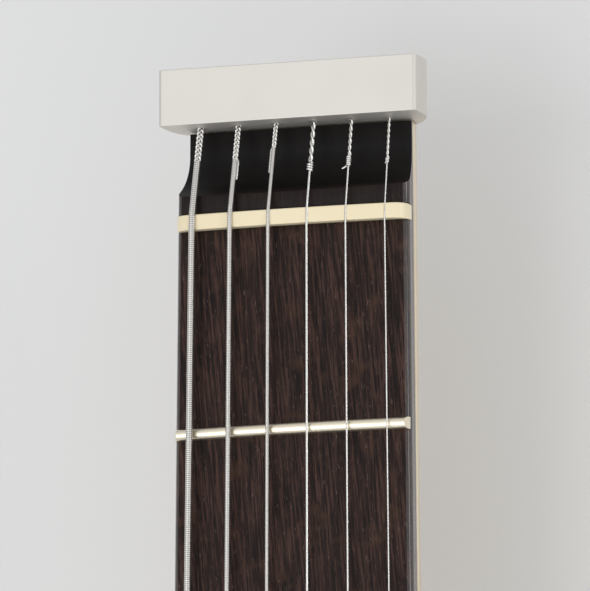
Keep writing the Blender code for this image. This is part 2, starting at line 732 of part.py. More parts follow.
def make_head_block(metal):
    """The metal block at the head: flat in front, rounded like the neck behind."""
    front = BOARD_TOP + BLOCK_FRONT
    half = BLOCK_HALF_WIDTH
    outline = [(-half + FIT, front), (half - FIT, front), (half, front - FIT)]
    for step in range(13):
        turn = math.pi * step / 12
        outline.append((half * math.cos(turn), front - BLOCK_SIDE - BLOCK_ROUND * math.sin(turn)))
    outline.append((-half, front - FIT))
    block = prism(outline, BLOCK_Y, BLOCK_TOP_Y, axis="Y")
    for index in range(len(STRING_DIAMETERS)):
        profile = [(0, BALL_POCKET), (BALL_RADIUS + FIT, BALL_POCKET), (BALL_RADIUS + FIT, 0)]
        profile += [(BLOCK_HOLE_RADIUS, 0), (BLOCK_HOLE_RADIUS, -BLOCK_LENGTH), (0, -BLOCK_LENGTH)]
        place = (block_hole_x(index), BLOCK_TOP_Y - BALL_POCKET + BEYOND, BLOCK_HOLE_Z)
        boolean(block, turned(profile, place, "Y", SMALL_ROUND))
    for side in (-1, 1):
        z = BOARD_TOP - BLOCK_SCREW_DEPTH
        head, shank = SCREW_HEAD_RADIUS + FIT, SCREW_RADIUS + FIT
        rise = SCREW_HEAD_HEIGHT + FIT + BEYOND
        profile = [(0, rise), (head, rise), (head, 0), (shank, 0), (shank, -BLOCK_LENGTH), (0, -BLOCK_LENGTH)]
        place = (side * BLOCK_SCREW_X, BLOCK_TOP_Y - SCREW_HEAD_HEIGHT - FIT, z)
        boolean(block, turned(profile, place, "Y", SMALL_ROUND))
    return part(block, "head_block", metal, smooth=35)


def make_block_screw(side, steel):
    """A cap screw that holds the head block on the end of the neck, with a hexagon socket."""
    head, shank = SCREW_HEAD_RADIUS, SCREW_RADIUS
    socket, deep = SCREW_HEAD_RADIUS * 0.5, SCREW_HEAD_HEIGHT * 0.6
    profile = [(0, SCREW_HEAD_HEIGHT - deep), (socket, SCREW_HEAD_HEIGHT - deep)]
    profile += [(socket, SCREW_HEAD_HEIGHT), (head, SCREW_HEAD_HEIGHT), (head, 0)]
    profile += [(shank, 0), (shank, -SCREW_LENGTH), (0, -SCREW_LENGTH)]
    place = (side * BLOCK_SCREW_X, BLOCK_TOP_Y - SCREW_HEAD_HEIGHT, BOARD_TOP - BLOCK_SCREW_DEPTH)
    name = "head_block_screw_treble" if side > 0 else "head_block_screw_bass"
    return part(turned(profile, place, "Y", SMALL_ROUND), name, steel, smooth=35)


def post_wraps(index):
    """The turns of a string down its tuner post, from where it first touches the post."""
    x, y = tuner_place(index)
    diameter = STRING_DIAMETERS[index]
    radius = POST_RADIUS + RUN + diameter / 2
    # The outermost strings meet the outer side of their post, the others the inner side.
    outer = index in (0, len(STRING_DIAMETERS) - 1)
    side = tuner_side(index) if outer else -tuner_side(index)
    pitch = diameter + WRAP_GAP
    turns = WOUND_TURNS if index < TUNERS_A_SIDE else PLAIN_TURNS
    start = 0 if side > 0 else math.pi
    points = []
    for step in range(turns * WRAP_POINTS + 1):
        turn = start + side * step / WRAP_POINTS * 2 * math.pi
        drop = pitch * step / WRAP_POINTS
        points.append(Vector((x + radius * math.cos(turn), y + radius * math.sin(turn), WRAP_TOP - drop)))
    return points


def make_string(index, steel):
    """One string along its whole route, from its ball end to the turns on its tuner post."""
    diameter = STRING_DIAMETERS[index]
    radius = diameter / 2
    hole = block_hole_x(index)
    ball_y = BLOCK_TOP_Y - BALL_POCKET + BEYOND + FIT
    ball = BALL_RADIUS / radius
    points = [
        Vector((hole, ball_y + BALL_LENGTH, BLOCK_HOLE_Z)),
        Vector((hole, ball_y, BLOCK_HOLE_Z)),
        Vector((hole, ball_y - 2 * FIT, BLOCK_HOLE_Z)),
    ]
    swell = TWIST_SWELL
    radii = [ball, ball, swell]
    back = SCALE_LENGTH + NUT_THICKNESS
    at_nut = Vector((string_x(index, SCALE_LENGTH), SCALE_LENGTH, string_z(index, SCALE_LENGTH)))
    leave = Vector((hole, BLOCK_Y, BLOCK_HOLE_Z))
    behind = Vector((at_nut.x, back, at_nut.z - RUN / 2))
    share = TWIST_LENGTH / (BLOCK_Y - back)
    points += [leave, leave.lerp(behind, share), leave.lerp(behind, share + 0.08), behind, at_nut]
    radii += [swell, swell, 1, 1, 1]
    saddle = Vector((string_x(index, 0), 0, string_z(index, 0)))
    points.append(saddle)
    radii.append(1)

    reach = ROLLER_GROOVE + FIT + radius
    x = string_x(index, ROLLER_Y)
    run, rise = saddle.y - ROLLER_Y, saddle.z - ROLLER_Z
    first = math.atan2(rise, run) + math.acos(reach / math.hypot(run, rise))
    last = 3 * math.pi / 2
    for step in range(9):
        turn = first + (last - first) * step / 8
        points.append(Vector((x, ROLLER_Y + reach * math.cos(turn), ROLLER_Z + reach * math.sin(turn))))
        radii.append(1)
    wraps = post_wraps(index)
    points += wraps
    radii += [1] * len(wraps)
    return part(tube(points, radius, radii), f"string_{6 - index}", steel)


def make_truss_rod(steel):
    """The rod in its groove below the board."""
    start = BOARD_END - WHEEL_TO_BOARD - WHEEL_WIDTH + FIT
    rod = cylinder(ROD_RADIUS, (0, start, ROD_HEIGHT), (0, ROD_HEAD_END, ROD_HEIGHT), SMALL_ROUND)
    return part(rod, "truss_rod", steel, smooth=35)


def make_truss_wheel(steel):
    """The wheel on the truss rod's end, turned by a pin in one of its holes."""
    bore, half, rim = ROD_RADIUS + RUN, WHEEL_WIDTH / 2, WHEEL_RADIUS
    profile = [(bore, half), (rim * 0.9, half), (rim, half * 0.7), (rim, -half * 0.7)]
    profile += [(rim * 0.9, -half), (bore, -half)]
    place = (0, BOARD_END - WHEEL_TO_BOARD - half, ROD_HEIGHT)
    wheel = turned(profile, place, "Y", closed=True)
    return part(wheel, "truss_rod_wheel", steel, smooth=35)


def make_bridge(metal):
    """The bar that the strings cross, crowned like the board, on two studs."""
    outline = [(-BRIDGE_HALF_LENGTH, BRIDGE_UNDERSIDE), (BRIDGE_HALF_LENGTH, BRIDGE_UNDERSIDE)]
    shoulder = string_x(len(STRING_DIAMETERS) - 1, 0) + BRIDGE_SHOULDER
    lift = STRING_OVER_NUT + STRING_RISE * SCALE_LENGTH - FIT
    end_top = crown(shoulder) + lift - BRIDGE_END_DROP
    outline.append((BRIDGE_HALF_LENGTH, end_top))
    for step in range(9):
        x = shoulder * (1 - step / 4)
        outline.append((x, crown(x) + lift))
    outline.append((-BRIDGE_HALF_LENGTH, end_top))
    bar = prism(outline, -BRIDGE_BEHIND, BRIDGE_WIDTH - BRIDGE_BEHIND, axis="Y")
    soften(bar, BRIDGE_EDGE, 2, lambda place: place.z > BRIDGE_UNDERSIDE + FIT)
    for side in (-1, 1):
        x = side * STUD_X
        start = (x, STUD_Y, BRIDGE_UNDERSIDE - BEYOND)
        end = (x, STUD_Y, STUD_TOP + BEYOND)
        boolean(bar, cylinder(STUD_RADIUS + FIT, start, end, SMALL_ROUND))
    return part(bar, "bridge_bar", metal, smooth=35)


def make_bridge_stud(side, steel):
    """A stud that carries one end of the bridge on its thumbwheel."""
    radius, wheel = STUD_RADIUS, THUMBWHEEL_RADIUS
    top = BRIDGE_UNDERSIDE - FIT
    bottom = top - THUMBWHEEL_HEIGHT
    profile = [(0, STUD_TOP), (radius, STUD_TOP), (radius, top), (wheel, top), (wheel, bottom)]
    profile += [(radius, bottom), (radius, BODY_DEPTH - STUD_DEPTH), (0, BODY_DEPTH - STUD_DEPTH)]
    name = "bridge_stud_treble" if side > 0 else "bridge_stud_bass"
    return part(turned(profile, (side * STUD_X, STUD_Y, 0), "Z", SMALL_ROUND), name, steel, smooth=35)


def make_pickup(plastic):
    """The pickup: a closed coil case on a plate whose two ears lie on the ledges beside the channel."""
    bottom = PICKUP_LEDGE + FIT
    half = PICKUP_HALF_WIDTH
    corners = [(-PICKUP_HALF_LENGTH, -half, half / 2), (PICKUP_HALF_LENGTH, -half, half / 2)]
    corners += [(PICKUP_HALF_LENGTH, half, half / 2), (-PICKUP_HALF_LENGTH, half, half / 2)]
    case = prism(rounded(corners), bottom, PICKUP_TOP)
    case.location.y = PICKUP_Y
    low = (-EAR_HALF_LENGTH, PICKUP_Y - half, bottom)
    high = (EAR_HALF_LENGTH, PICKUP_Y + half, bottom + EAR_THICKNESS)
    boolean(case, box(low, high), "UNION")
    for side in (-1, 1):
        x = side * PICKUP_SCREW_X
        start, end = (x, PICKUP_Y, bottom - BEYOND), (x, PICKUP_Y, bottom + EAR_THICKNESS + BEYOND)
        boolean(case, cylinder(PICKUP_SCREW_RADIUS + FIT, start, end, SMALL_ROUND))
    return part(case, "pickup", plastic, smooth=35)


def make_pickup_screw(side, steel):
    """A screw through one ear of the pickup."""
    seat = PICKUP_LEDGE + EAR_THICKNESS + 2 * FIT
    head, shank = PICKUP_SCREW_HEAD, PICKUP_SCREW_RADIUS
    foot = PICKUP_LEDGE - PICKUP_SCREW_LENGTH + FIT
    profile = [(0, seat + head * 0.6), (head * 0.7, seat + head * 0.5), (head, seat + head * 0.2), (head, seat)]
    profile += [(shank, seat), (shank, foot), (0, foot)]
    name = "pickup_screw_treble" if side > 0 else "pickup_screw_bass"
    place = (side * PICKUP_SCREW_X, PICKUP_Y, 0)
    return part(turned(profile, place, "Z", SMALL_ROUND), name, steel, smooth=35)


def make_axle(steel):
    """The rod across the tail that carries the rollers."""
    half = AXLE_HALF_LENGTH
    axle = cylinder(AXLE_RADIUS, (-half, ROLLER_Y, ROLLER_Z), (half, ROLLER_Y, ROLLER_Z))
    return part(axle, "tail_axle", steel, smooth=35)


def make_roller(index, metal):
    """One grooved roller on the tail axle."""
    half, rim, groove = ROLLER_WIDTH / 2, ROLLER_RIM, ROLLER_GROOVE
    bore = AXLE_RADIUS + RUN
    flat = half * 0.3
    profile = [(bore, half), (rim, half), (rim, half * 0.7), (groove, flat), (groove, -flat)]
    profile += [(rim, -half * 0.7), (rim, -half), (bore, -half)]
    place = (string_x(index, ROLLER_Y), ROLLER_Y, ROLLER_Z)
    roller = turned(profile, place, "X", closed=True)
    return part(roller, f"tail_roller_{6 - index}", metal, smooth=35)


def make_tuner(index, steel, dark, chrome):
    """One tuner: the housing below the channel's floor, the post with its gear, and the button's shaft."""
    x, y = tuner_place(index)
    side = tuner_side(index)
    number = 6 - index
    gear_half = GEAR_THICKNESS / 2

    low_x, high_x = sorted((x - side * HOUSING_INNER, x + side * HOUSING_OUTER))
    front = y + WORM_OFFSET + WORM_RADIUS + RUN + HOUSING_WALL
    housing = box((low_x, y - HOUSING_BACK, HOUSING_FLOOR), (high_x, front, POCKET_ROOF - FIT))
    sleeve_top = CHANNEL_FLOOR + SLEEVE_PROUD
    boolean(housing, cylinder(SLEEVE_RADIUS, (x, y, WORM_Z), (x, y, sleeve_top)), "UNION")
    room = gear_half + RUN
    boolean(housing, cylinder(GEAR_RADIUS + RUN, (x, y, WORM_Z - room), (x, y, WORM_Z + room)))
    bore = POST_RADIUS + RUN
    boolean(housing, cylinder(bore, (x, y, POST_FOOT - FIT), (x, y, sleeve_top + BEYOND)))
    worm_y = y + WORM_OFFSET
    start, end = (low_x - BEYOND, worm_y, WORM_Z), (high_x + BEYOND, worm_y, WORM_Z)
    boolean(housing, cylinder(WORM_RADIUS + RUN, start, end))
    part(housing, f"tuner_housing_{number}", dark, smooth=35)

    radius = POST_RADIUS
    waist = POST_WAIST
    profile = [(0, POST_TOP), (radius - POST_CHAMFER, POST_TOP), (radius, POST_TOP - POST_CHAMFER)]
    profile += [(radius, WRAP_TOP + RUN + radius - waist), (waist, WRAP_TOP + RUN)]
    profile += [(waist, WRAP_TOP - WAIST_LENGTH), (radius, sleeve_top)]
    profile += [(radius, POST_FOOT), (0, POST_FOOT)]
    profile = [(r, z - WORM_Z) for r, z in profile]
    post = turned(profile, (x, y, WORM_Z), "Z", SMALL_ROUND)
    teeth = []
    for step in range(2 * GEAR_TEETH):
        reach = GEAR_RADIUS - (GEAR_TOOTH if step % 2 else 0)
        turn = math.pi * step / GEAR_TEETH
        teeth.append((reach * math.cos(turn), reach * math.sin(turn)))
    gear = prism(teeth, WORM_Z - gear_half, WORM_Z + gear_half)
    gear.location.x, gear.location.y = x, y
    boolean(post, gear, "UNION")
    part(post, f"tuner_post_{number}", steel, smooth=35)

    worm, shaft = WORM_RADIUS, SHAFT_RADIUS
    half = WORM_LENGTH / 2
    reach = BUTTON_REACH
    profile = [(0, reach + BUTTON_LENGTH / 2), (shaft, reach + BUTTON_LENGTH / 2), (shaft, half)]
    ridges = 3
    for ridge in range(ridges):
        top = half - ridge * WORM_LENGTH / ridges
        profile += [(worm, top - WORM_LENGTH / ridges * 0.3), (worm * 0.8, top - WORM_LENGTH / ridges)]
    profile += [(shaft, -half), (shaft, -HOUSING_INNER), (0, -HOUSING_INNER)]
    button = turned(profile, (x, worm_y, WORM_Z), "X" if side > 0 else "-X", SMALL_ROUND)
    bpy.ops.mesh.primitive_uv_sphere_add(segments=10, ring_count=6, radius=1)
    grip = bpy.context.object
    grip.data.transform(Matrix.Diagonal((BUTTON_LENGTH / 2, BUTTON_RADIUS, BUTTON_THICKNESS / 2, 1)))
    grip.location = (x + side * (reach + BUTTON_LENGTH / 2), worm_y, WORM_Z)
    boolean(button, grip, "UNION")
    part(button, f"tuner_button_{number}", chrome, smooth=35)


def make_controls(steel, chrome, plastic):
    """The volume control with its knob, and the output jack with its nut."""
    top = CAVITY_ROOF - FIT
    body, bush, bore = POT_RADIUS, BUSH_RADIUS, POT_SHAFT_RADIUS + RUN
    foot = POT_SHAFT_FOOT - FIT
    profile = [(0, foot), (bore, foot), (bore, BUSH_TOP), (bush, BUSH_TOP), (bush, top), (body, top)]
    profile += [(body, top - POT_HEIGHT), (0, top - POT_HEIGHT)]
    part(turned(profile, (POT_X, POT_Y, 0)), "volume_control", steel, smooth=35)

    hollow = bush + 2 * RUN
    roof = BUSH_TOP + RUN
    rim, low, high = KNOB_RADIUS, KNOB_BOTTOM, KNOB_TOP
    shaft = POT_SHAFT_RADIUS
    profile = [(0, high), (rim - 1.5 * KNOB_CHAMFER, high), (rim - KNOB_CHAMFER / 2, high - KNOB_CHAMFER)]
    profile += [(rim, low), (hollow, low)]
    profile += [(hollow, roof), (shaft, roof), (shaft, POT_SHAFT_FOOT), (0, POT_SHAFT_FOOT)]
    part(turned(profile, (POT_X, POT_Y, 0)), "volume_knob", plastic, smooth=35)

    shoulder = CAVITY_OUTER - FIT
    tip = BODY_HALF_WIDTH + JACK_PROUD
    body, barrel, bore = JACK_BODY_RADIUS, JACK_BARREL_RADIUS, JACK_BORE_RADIUS
    profile = [(0, tip - JACK_BORE_DEPTH), (bore, tip - JACK_BORE_DEPTH), (bore, tip), (barrel, tip)]
    profile += [(barrel, shoulder), (body, shoulder), (body, shoulder - JACK_BODY_LENGTH)]
    profile += [(0, shoulder - JACK_BODY_LENGTH)]
    part(turned(profile, (0, POT_Y, JACK_Z), "X"), "output_jack", steel, smooth=35)

    near = BODY_HALF_WIDTH + FIT
    ring = [(barrel + FIT, near + JACK_NUT_THICKNESS), (JACK_NUT_RADIUS, near + JACK_NUT_THICKNESS)]
    ring += [(JACK_NUT_RADIUS, near), (barrel + FIT, near)]
    part(turned(ring, (0, POT_Y, JACK_Z), "X", closed=True), "jack_nut", chrome, smooth=35)


def make_covers(plastic):
    """The two plates let into the back."""
    z = COVER_RECESS - FIT
    half = POCKET_HALF_WIDTH + COVER_LEDGE - FIT
    start, end = POCKET_START - COVER_LEDGE + FIT, POCKET_END + COVER_LEDGE - FIT
    plate = box((-half, start, z - COVER_THICKNESS), (half, end, z))
    part(plate, "tuner_cover", plastic)
    ledge = COVER_LEDGE - FIT
    inner, outer = CAVITY_INNER - COVER_LEDGE / 2 + FIT, CAVITY_OUTER + ledge
    outline = electrics_outline(inner, CAVITY_START - ledge, outer, CAVITY_END + ledge, CAVITY_ROUND + ledge)
    part(prism(outline, z - COVER_THICKNESS, z), "electrics_cover", plastic)


def make_strap_button(place, axis, name, chrome):
    """A strap button whose screw end sits in the wood."""
    rim, waist, high = STRAP_RADIUS, STRAP_WAIST, STRAP_LENGTH
    screw = waist - 2 * FIT
    edge = STRAP_CHAMFER
    profile = [(0, high), (rim - edge, high), (rim, high - edge), (rim, high - edge - STRAP_RIM)]
    profile += [(waist, high / 2), (waist, STRAP_FOOT), (rim - edge, FIT), (screw, FIT)]
    profile += [(screw, 3 * FIT - high), (0, 3 * FIT - high)]
    return part(turned(profile, place, axis, SMALL_ROUND), name, chrome, smooth=35)


def rest_route():
    """The lap rest's axis: two straight legs and a bow between their elbows."""
    near, far = REST_LEGS
    start = BODY_HALF_WIDTH - SOCKET_DEPTH + RUN
    straight = BODY_HALF_WIDTH + REST_STRAIGHT
    middle = (near + far) / 2
    half = (far - near) / 2
    points = [Vector((start, near, SIDE_HEIGHT)), Vector((straight, near, SIDE_HEIGHT))]
    steps = 18
    for step in range(1, steps):
        turn = math.pi * step / steps
        # A flattened half ellipse: it leaves both legs straight and stays nearly level along its middle.
        out = (REST_REACH - REST_RADIUS - straight) * math.sin(turn) ** REST_FLATNESS
        points.append(Vector((straight + out, middle - half * math.cos(turn), SIDE_HEIGHT)))
    points += [Vector((straight, far, SIDE_HEIGHT)), Vector((start, far, SIDE_HEIGHT))]
    return points


def make_lap_rest(metal, rubber):
    """The lap rest: a bent rod that plugs into the treble side, with a soft sleeve on its bow."""
    route = rest_route()
    rod = part(tube(route, REST_RADIUS, sides=2), "lap_rest", metal)
    first = round(len(route) * SLEEVE_START)
    bow = route[first : len(route) - first]
    sleeve = as_mesh(tube(bow, REST_RADIUS + FIT + SLEEVE_WALL, sides=2))
    inside = as_mesh(tube(route[first - 1 : len(route) - first + 1], REST_RADIUS + FIT, sides=2))
    boolean(sleeve, inside)
    part(sleeve, "lap_rest_sleeve", rubber)
    return rod


def main():
    """Build every piece."""
    clear_scene()
    maple = finish("maple", (0.62, 0.45, 0.27), 0.45, 0)
    body_wood = finish("body_wood", (0.36, 0.18, 0.09), 0.45, 0)
    rosewood = finish("rosewood", (0.045, 0.03, 0.026), 0.5, 0)
    bone = finish("nut_plastic", (0.78, 0.72, 0.52), 0.4, 0)
    aluminium = finish("satin_aluminium", (0.75, 0.74, 0.72), 0.35, 1)
    steel = finish("steel", (0.6, 0.6, 0.58), 0.3, 1)
    chrome = finish("chrome", (0.8, 0.8, 0.8), 0.12, 1)
    dark = finish("black_metal", (0.03, 0.03, 0.03), 0.4, 0.8)
    plastic = finish("black_plastic", (0.02, 0.02, 0.02), 0.4, 0)
    rubber = finish("rubber", (0.03, 0.03, 0.03), 0.8, 0)

    make_beam(maple)
    for side in (-1, 1):
        make_wing(side, body_wood)
        make_block_screw(side, steel)
        make_bridge_stud(side, steel)
        make_pickup_screw(side, steel)
    make_fingerboard(rosewood)
    make_nut(bone)
    make_head_block(aluminium)
    make_truss_rod(steel)
    make_truss_wheel(steel)
    make_bridge(chrome)
    make_pickup(plastic)
    make_axle(steel)
    for index in range(len(STRING_DIAMETERS)):
        make_string(index, steel)
        make_roller(index, aluminium)
        make_tuner(index, steel, dark, chrome)
    make_controls(steel, chrome, plastic)
    make_covers(plastic)
    make_strap_button((0, TAIL, TAIL_STRAP_Z), "-Y", "strap_button_tail", chrome)
    make_strap_button((-SHOULDER_STRAP_X, SHOULDER, SIDE_HEIGHT), "Y", "strap_button_shoulder", chrome)
    make_lap_rest(aluminium, rubber)


main()
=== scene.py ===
"""Looks of the travel guitar: wood, metal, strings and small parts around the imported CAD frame.

All lengths are in metres, in the CAD's own frame: +Z out of the guitar's face, +Y to the head, +X to the
treble side, with the origin on the back below the saddle line.
"""

from __future__ import annotations

import json
import logging
import math
from contextlib import contextmanager
from dataclasses import dataclass, replace
from enum import Enum
from typing import Callable, ClassVar, Iterable, Iterator, Sequence

import bmesh
import bpy
from mathutils import Matrix, Vector

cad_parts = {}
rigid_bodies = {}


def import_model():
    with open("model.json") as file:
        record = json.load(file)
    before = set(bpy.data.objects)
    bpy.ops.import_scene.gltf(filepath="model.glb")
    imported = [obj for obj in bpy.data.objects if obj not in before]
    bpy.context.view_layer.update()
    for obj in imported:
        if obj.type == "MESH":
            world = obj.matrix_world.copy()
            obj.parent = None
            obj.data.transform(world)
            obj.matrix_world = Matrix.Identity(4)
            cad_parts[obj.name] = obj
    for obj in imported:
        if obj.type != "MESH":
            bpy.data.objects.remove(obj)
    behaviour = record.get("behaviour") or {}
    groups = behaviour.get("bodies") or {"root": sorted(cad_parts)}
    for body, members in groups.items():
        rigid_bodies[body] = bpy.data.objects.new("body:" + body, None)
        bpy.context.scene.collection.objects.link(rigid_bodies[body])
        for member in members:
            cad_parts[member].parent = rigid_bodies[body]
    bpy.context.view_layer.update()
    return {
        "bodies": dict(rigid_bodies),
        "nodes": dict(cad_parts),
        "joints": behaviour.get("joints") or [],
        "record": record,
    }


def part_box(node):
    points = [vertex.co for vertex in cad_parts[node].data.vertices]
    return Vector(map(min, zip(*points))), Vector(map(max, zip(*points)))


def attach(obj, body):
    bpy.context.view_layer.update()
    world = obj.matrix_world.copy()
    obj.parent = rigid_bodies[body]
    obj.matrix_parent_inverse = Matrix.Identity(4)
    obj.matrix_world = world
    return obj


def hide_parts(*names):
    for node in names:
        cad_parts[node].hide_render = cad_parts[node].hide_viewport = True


log = logging.getLogger("travel_guitar")

MM = 0.001
HAIR = 0.01 * MM  # too small to see, for press fits and for telling faces apart
BEYOND = 1.0 * MM  # how far a cutter reaches past what it cuts
MERGE = 1e-6  # points nearer than this become one
ROOT = "root"
Place = tuple[float, float, float]
Point = tuple[float, float]
Material = bpy.types.Material
Piece = bpy.types.Object
Socket = bpy.types.NodeSocket


class Axis(Enum):
    """The direction that a turned or extruded piece points in."""

    X = Vector((1, 0, 0))
    Y = Vector((0, 1, 0))
    Z = Vector((0, 0, 1))
    MINUS_X = Vector((-1, 0, 0))
    MINUS_Y = Vector((0, -1, 0))
    MINUS_Z = Vector((0, 0, -1))


class Drive(Enum):
    """What turns a screw."""

    CROSS = "a crossed recess"
    SLOT = "a straight slot"
    HEXAGON = "a hexagon socket"


class Side(Enum):
    """The two sides of the guitar, with the sign of X there."""

    BASS = -1
    TREBLE = 1


# Driving sizes, as in the CAD


@dataclass(frozen=True)
class Scale:
    """The sizes that set where strings, frets, board, head block and tuners lie."""

    length: float = 628.65 * MM
    frets: int = 22
    diameters: tuple[float, ...] = (1.17 * MM, 0.91 * MM, 0.66 * MM, 0.43 * MM, 0.33 * MM, 0.25 * MM)
    wound: int = 3
    spread: float = 34.84 * MM
    fan: float = 0.0228
    over_nut: float = 1.45 * MM
    rise: float = 0.0020
    board_width: float = 42.07 * MM
    board_fan: float = 0.019
    board_thickness: float = 6.05 * MM
    crown: float = 305 * MM
    undercut: float = 0.89 * MM
    board_top: float = 50.35 * MM
    past_last_fret: float = 8 * MM
    block_from_nut: float = 18.13 * MM
    hole_spread: float = 34.3 * MM
    hole_depth: float = 2.2 * MM
    tuner_start: float = 52 * MM
    tuner_pitch: float = 40 * MM
    post_x: float = 22.5 * MM
    post_step: float = 3 * MM
    body_side: float = 66.5 * MM

    @property
    def block_face(self) -> float:
        """The head block's face that looks at the nut."""
        return self.length + self.block_from_nut

    @property
    def board_end(self) -> float:
        """Where the board ends on the body."""
        return self.fret(self.frets) - self.past_last_fret

    def fret(self, number: int) -> float:
        """Distance along the neck of a fret."""
        return self.length * 2 ** (-number / 12)

    def crown_at(self, x: float) -> float:
        """Height of the playing surface beside the centre line."""
        return self.board_top - self.crown + math.sqrt(self.crown**2 - x**2)

    def half_width(self, y: float) -> float:
        """Half of the board's width."""
        return (self.board_width + self.board_fan * (self.length - y)) / 2

    def strings(self) -> list[tuple[int, int]]:
        """Each string's index from the bass side, with its number in a player's count."""
        count = len(self.diameters)
        return [(index, count - index) for index in range(count)]

    def share(self, index: int) -> float:
        """Where a string lies across the six, from -0.5 on the bass side to 0.5."""
        return index / (len(self.diameters) - 1) - 0.5

    def string_x(self, index: int, y: float) -> float:
        """A string's distance from the centre line."""
        return (self.spread + self.fan * (self.length - y)) * self.share(index)

    def string_z(self, index: int, y: float) -> float:
        """Height of a string's axis between nut and saddle."""
        lift = self.over_nut + self.rise * (self.length - y) + self.diameters[index] / 2
        return self.crown_at(self.string_x(index, y)) + lift

    def hole(self, index: int) -> Vector:
        """Where a string's axis leaves the head block."""
        return Vector((self.hole_spread * self.share(index), self.block_face, self.board_top - self.hole_depth))

    def tuner(self, index: int) -> tuple[int, float, float]:
        """Find the tuner of a string: the wound strings have theirs on the bass side.

        Args:
            index: the string, from the bass side.

        Returns:
            The side's sign, and X and Y of the post.
        """
        side, row = (-1, index) if index < self.wound else (1, len(self.diameters) - 1 - index)
        return side, side * (self.post_x - self.post_step * row), self.tuner_start + self.tuner_pitch * row


SCALE = Scale()


# Finishes


def linear(colour: str) -> tuple[float, float, float, float]:
    """Turn an sRGB hex colour to the linear values that a shader takes.

    Args:
        colour: six hex digits, with or without a leading hash.

    Returns:
        Red, green, blue and an alpha of 1.
    """
    digits = colour.lstrip("#")
    channels = [int(digits[i : i + 2], 16) / 255 for i in (0, 2, 4)]
    red, green, blue = (c / 12.92 if c <= 0.04045 else ((c + 0.055) / 1.055) ** 2.4 for c in channels)
    return red, green, blue, 1.0


class Sketch:
    """A material's node tree, with one way to add a node."""

    def __init__(self, name: str) -> None:
        """Start a material that holds only its Principled shader.

        Args:
            name: the material's name.
        """
        self.material = bpy.data.materials.new(name)
        self.material.use_nodes = True
        self.tree = self.material.node_tree
        self.shader = self.tree.nodes["Principled BSDF"]

    def add(self, kind: str, links: dict[str, Socket] | None = None, **settings: object) -> bpy.types.Node:
        """Add a node with its settings and what feeds it.

        Args:
            kind: the node's type without the leading ShaderNode.
            links: input names and the sockets that feed them.
            **settings: properties of the node, or values of its inputs by lower-case name.

        Returns:
            The new node.
        """
        node = self.tree.nodes.new(f"ShaderNode{kind}")
        inputs: dict[str, Socket] = {}
        for socket in node.inputs:
            inputs.setdefault(socket.name.lower().replace(" ", "_"), socket)
        for name, value in settings.items():
            if hasattr(node, name):
                setattr(node, name, value)
            else:
                inputs[name].default_value = value
        for name, source in (links or {}).items():
            target = node.inputs[int(name)] if name.isdigit() else node.inputs[name]
            self.tree.links.new(source, target)
        return node

    def feed(self, name: str, source: Socket) -> None:
        """Link a socket to one of the shader's inputs."""
        self.tree.links.new(source, self.shader.inputs[name])

    def set(self, **values: object) -> None:
        """Set the shader's own sockets by their lower-case names."""
        inputs = {socket.name.lower().replace(" ", "_"): socket for socket in self.shader.inputs}
        for name, value in values.items():
            inputs[name].default_value = value

    def stretched(self, across: float, along: float, depth: float, lean: float = 0.0) -> Socket:
        """Object coordinates divided by a pattern's size in metres on X, Y and Z.

        Args:
            across: the pattern's size on X.
            along: its size on Y.
            depth: its size on Z.
            lean: how many degrees the pattern leans to the treble side on its way to the head.

        Returns:
            The coordinates for a texture of scale 1.
        """
        place = self.add("TexCoord").outputs["Object"]
        if lean:
            place = self.add("Mapping", {"Vector": place}, rotation=(0, 0, math.radians(lean))).outputs["Vector"]
        scale = (1 / across, 1 / along, 1 / depth)
        return self.add("Mapping", {"Vector": place}, scale=scale).outputs["Vector"]

    def ramp(self, source: Socket, stops: Sequence[tuple[float, str]]) -> Socket:
        """Turn a value to a colour through (position, hex) stops.

        Args:
            source: what is mapped.
            stops: the colours and where they stand, from 0 to 1.

        Returns:
            The colour.
        """
        node = self.add("ValToRGB", {"Fac": source})
        while len(node.color_ramp.elements) < len(stops):
            node.color_ramp.elements.new(1.0)
        for element, (position, colour) in zip(node.color_ramp.elements, stops):
            element.position = position
            element.color = linear(colour)
        return node.outputs["Color"]

    def colour(self, value: str) -> Socket:
        """A plain colour to mix in.

        Args:
            value: six hex digits.

        Returns:
            The colour.
        """
        node = self.add("RGB")
        node.outputs[0].default_value = linear(value)
        return node.outputs[0]

    def mixed(self, share: Socket, first: Socket, second: Socket, blend: str = "MIX") -> Socket:
        """Mix two colours by a share.

        Args:
            share: how much of the second colour there is.
            first: the first colour.
            second: the second colour.
            blend: the way of mixing.

        Returns:
            The mixed colour.
        """
        node = self.add("Mix", data_type="RGBA", blend_type=blend)
        self.tree.links.new(share, node.inputs[0])
        self.tree.links.new(first, node.inputs[6])
        self.tree.links.new(second, node.inputs[7])
        return node.outputs[2]

    def between(self, source: Socket, low: float, high: float, to_low: float, to_high: float) -> Socket:
        """Map one range of values to another, clamped.

        Args:
            source: what is mapped.
            low: the value that becomes to_low.
            high: the value that becomes to_high.
            to_low: the result's value at low.
            to_high: the result's value at high.

        Returns:
            The mapped value.
        """
        node = self.add(
            "MapRange", {"Value": source}, from_min=low, from_max=high, to_min=to_low, to_max=to_high
        )
        return node.outputs["Result"]

    def bump(self, height: Socket, depth: float, strength: float = 1.0) -> None:
        """Give the surface relief, its depth in metres."""
        node = self.add("Bump", {"Height": height}, distance=depth, strength=strength)
        self.feed("Normal", node.outputs["Normal"])


@dataclass(frozen=True)
class ShelfAndScoopShade:
    """Painted shade on the board behind the nut, and a darker painted shade in the carved scoop at its end."""

    start: float
    scoop_start: float
    scoop_top: float
    # the colour of the painted shade behind the nut, and how much of it covers the wood
    colour: str = "#140D0A"
    share: float = 0.8
    fade: float = 0.3 * MM
    # the nearly black painted shade in the scoop, and how much of it covers the wood
    scoop_shade_colour: str = "#060404"
    scoop_shade_share: float = 0.9
    scoop_fade: float = 0.7 * MM
    scoop_rim: float = 0.5 * MM


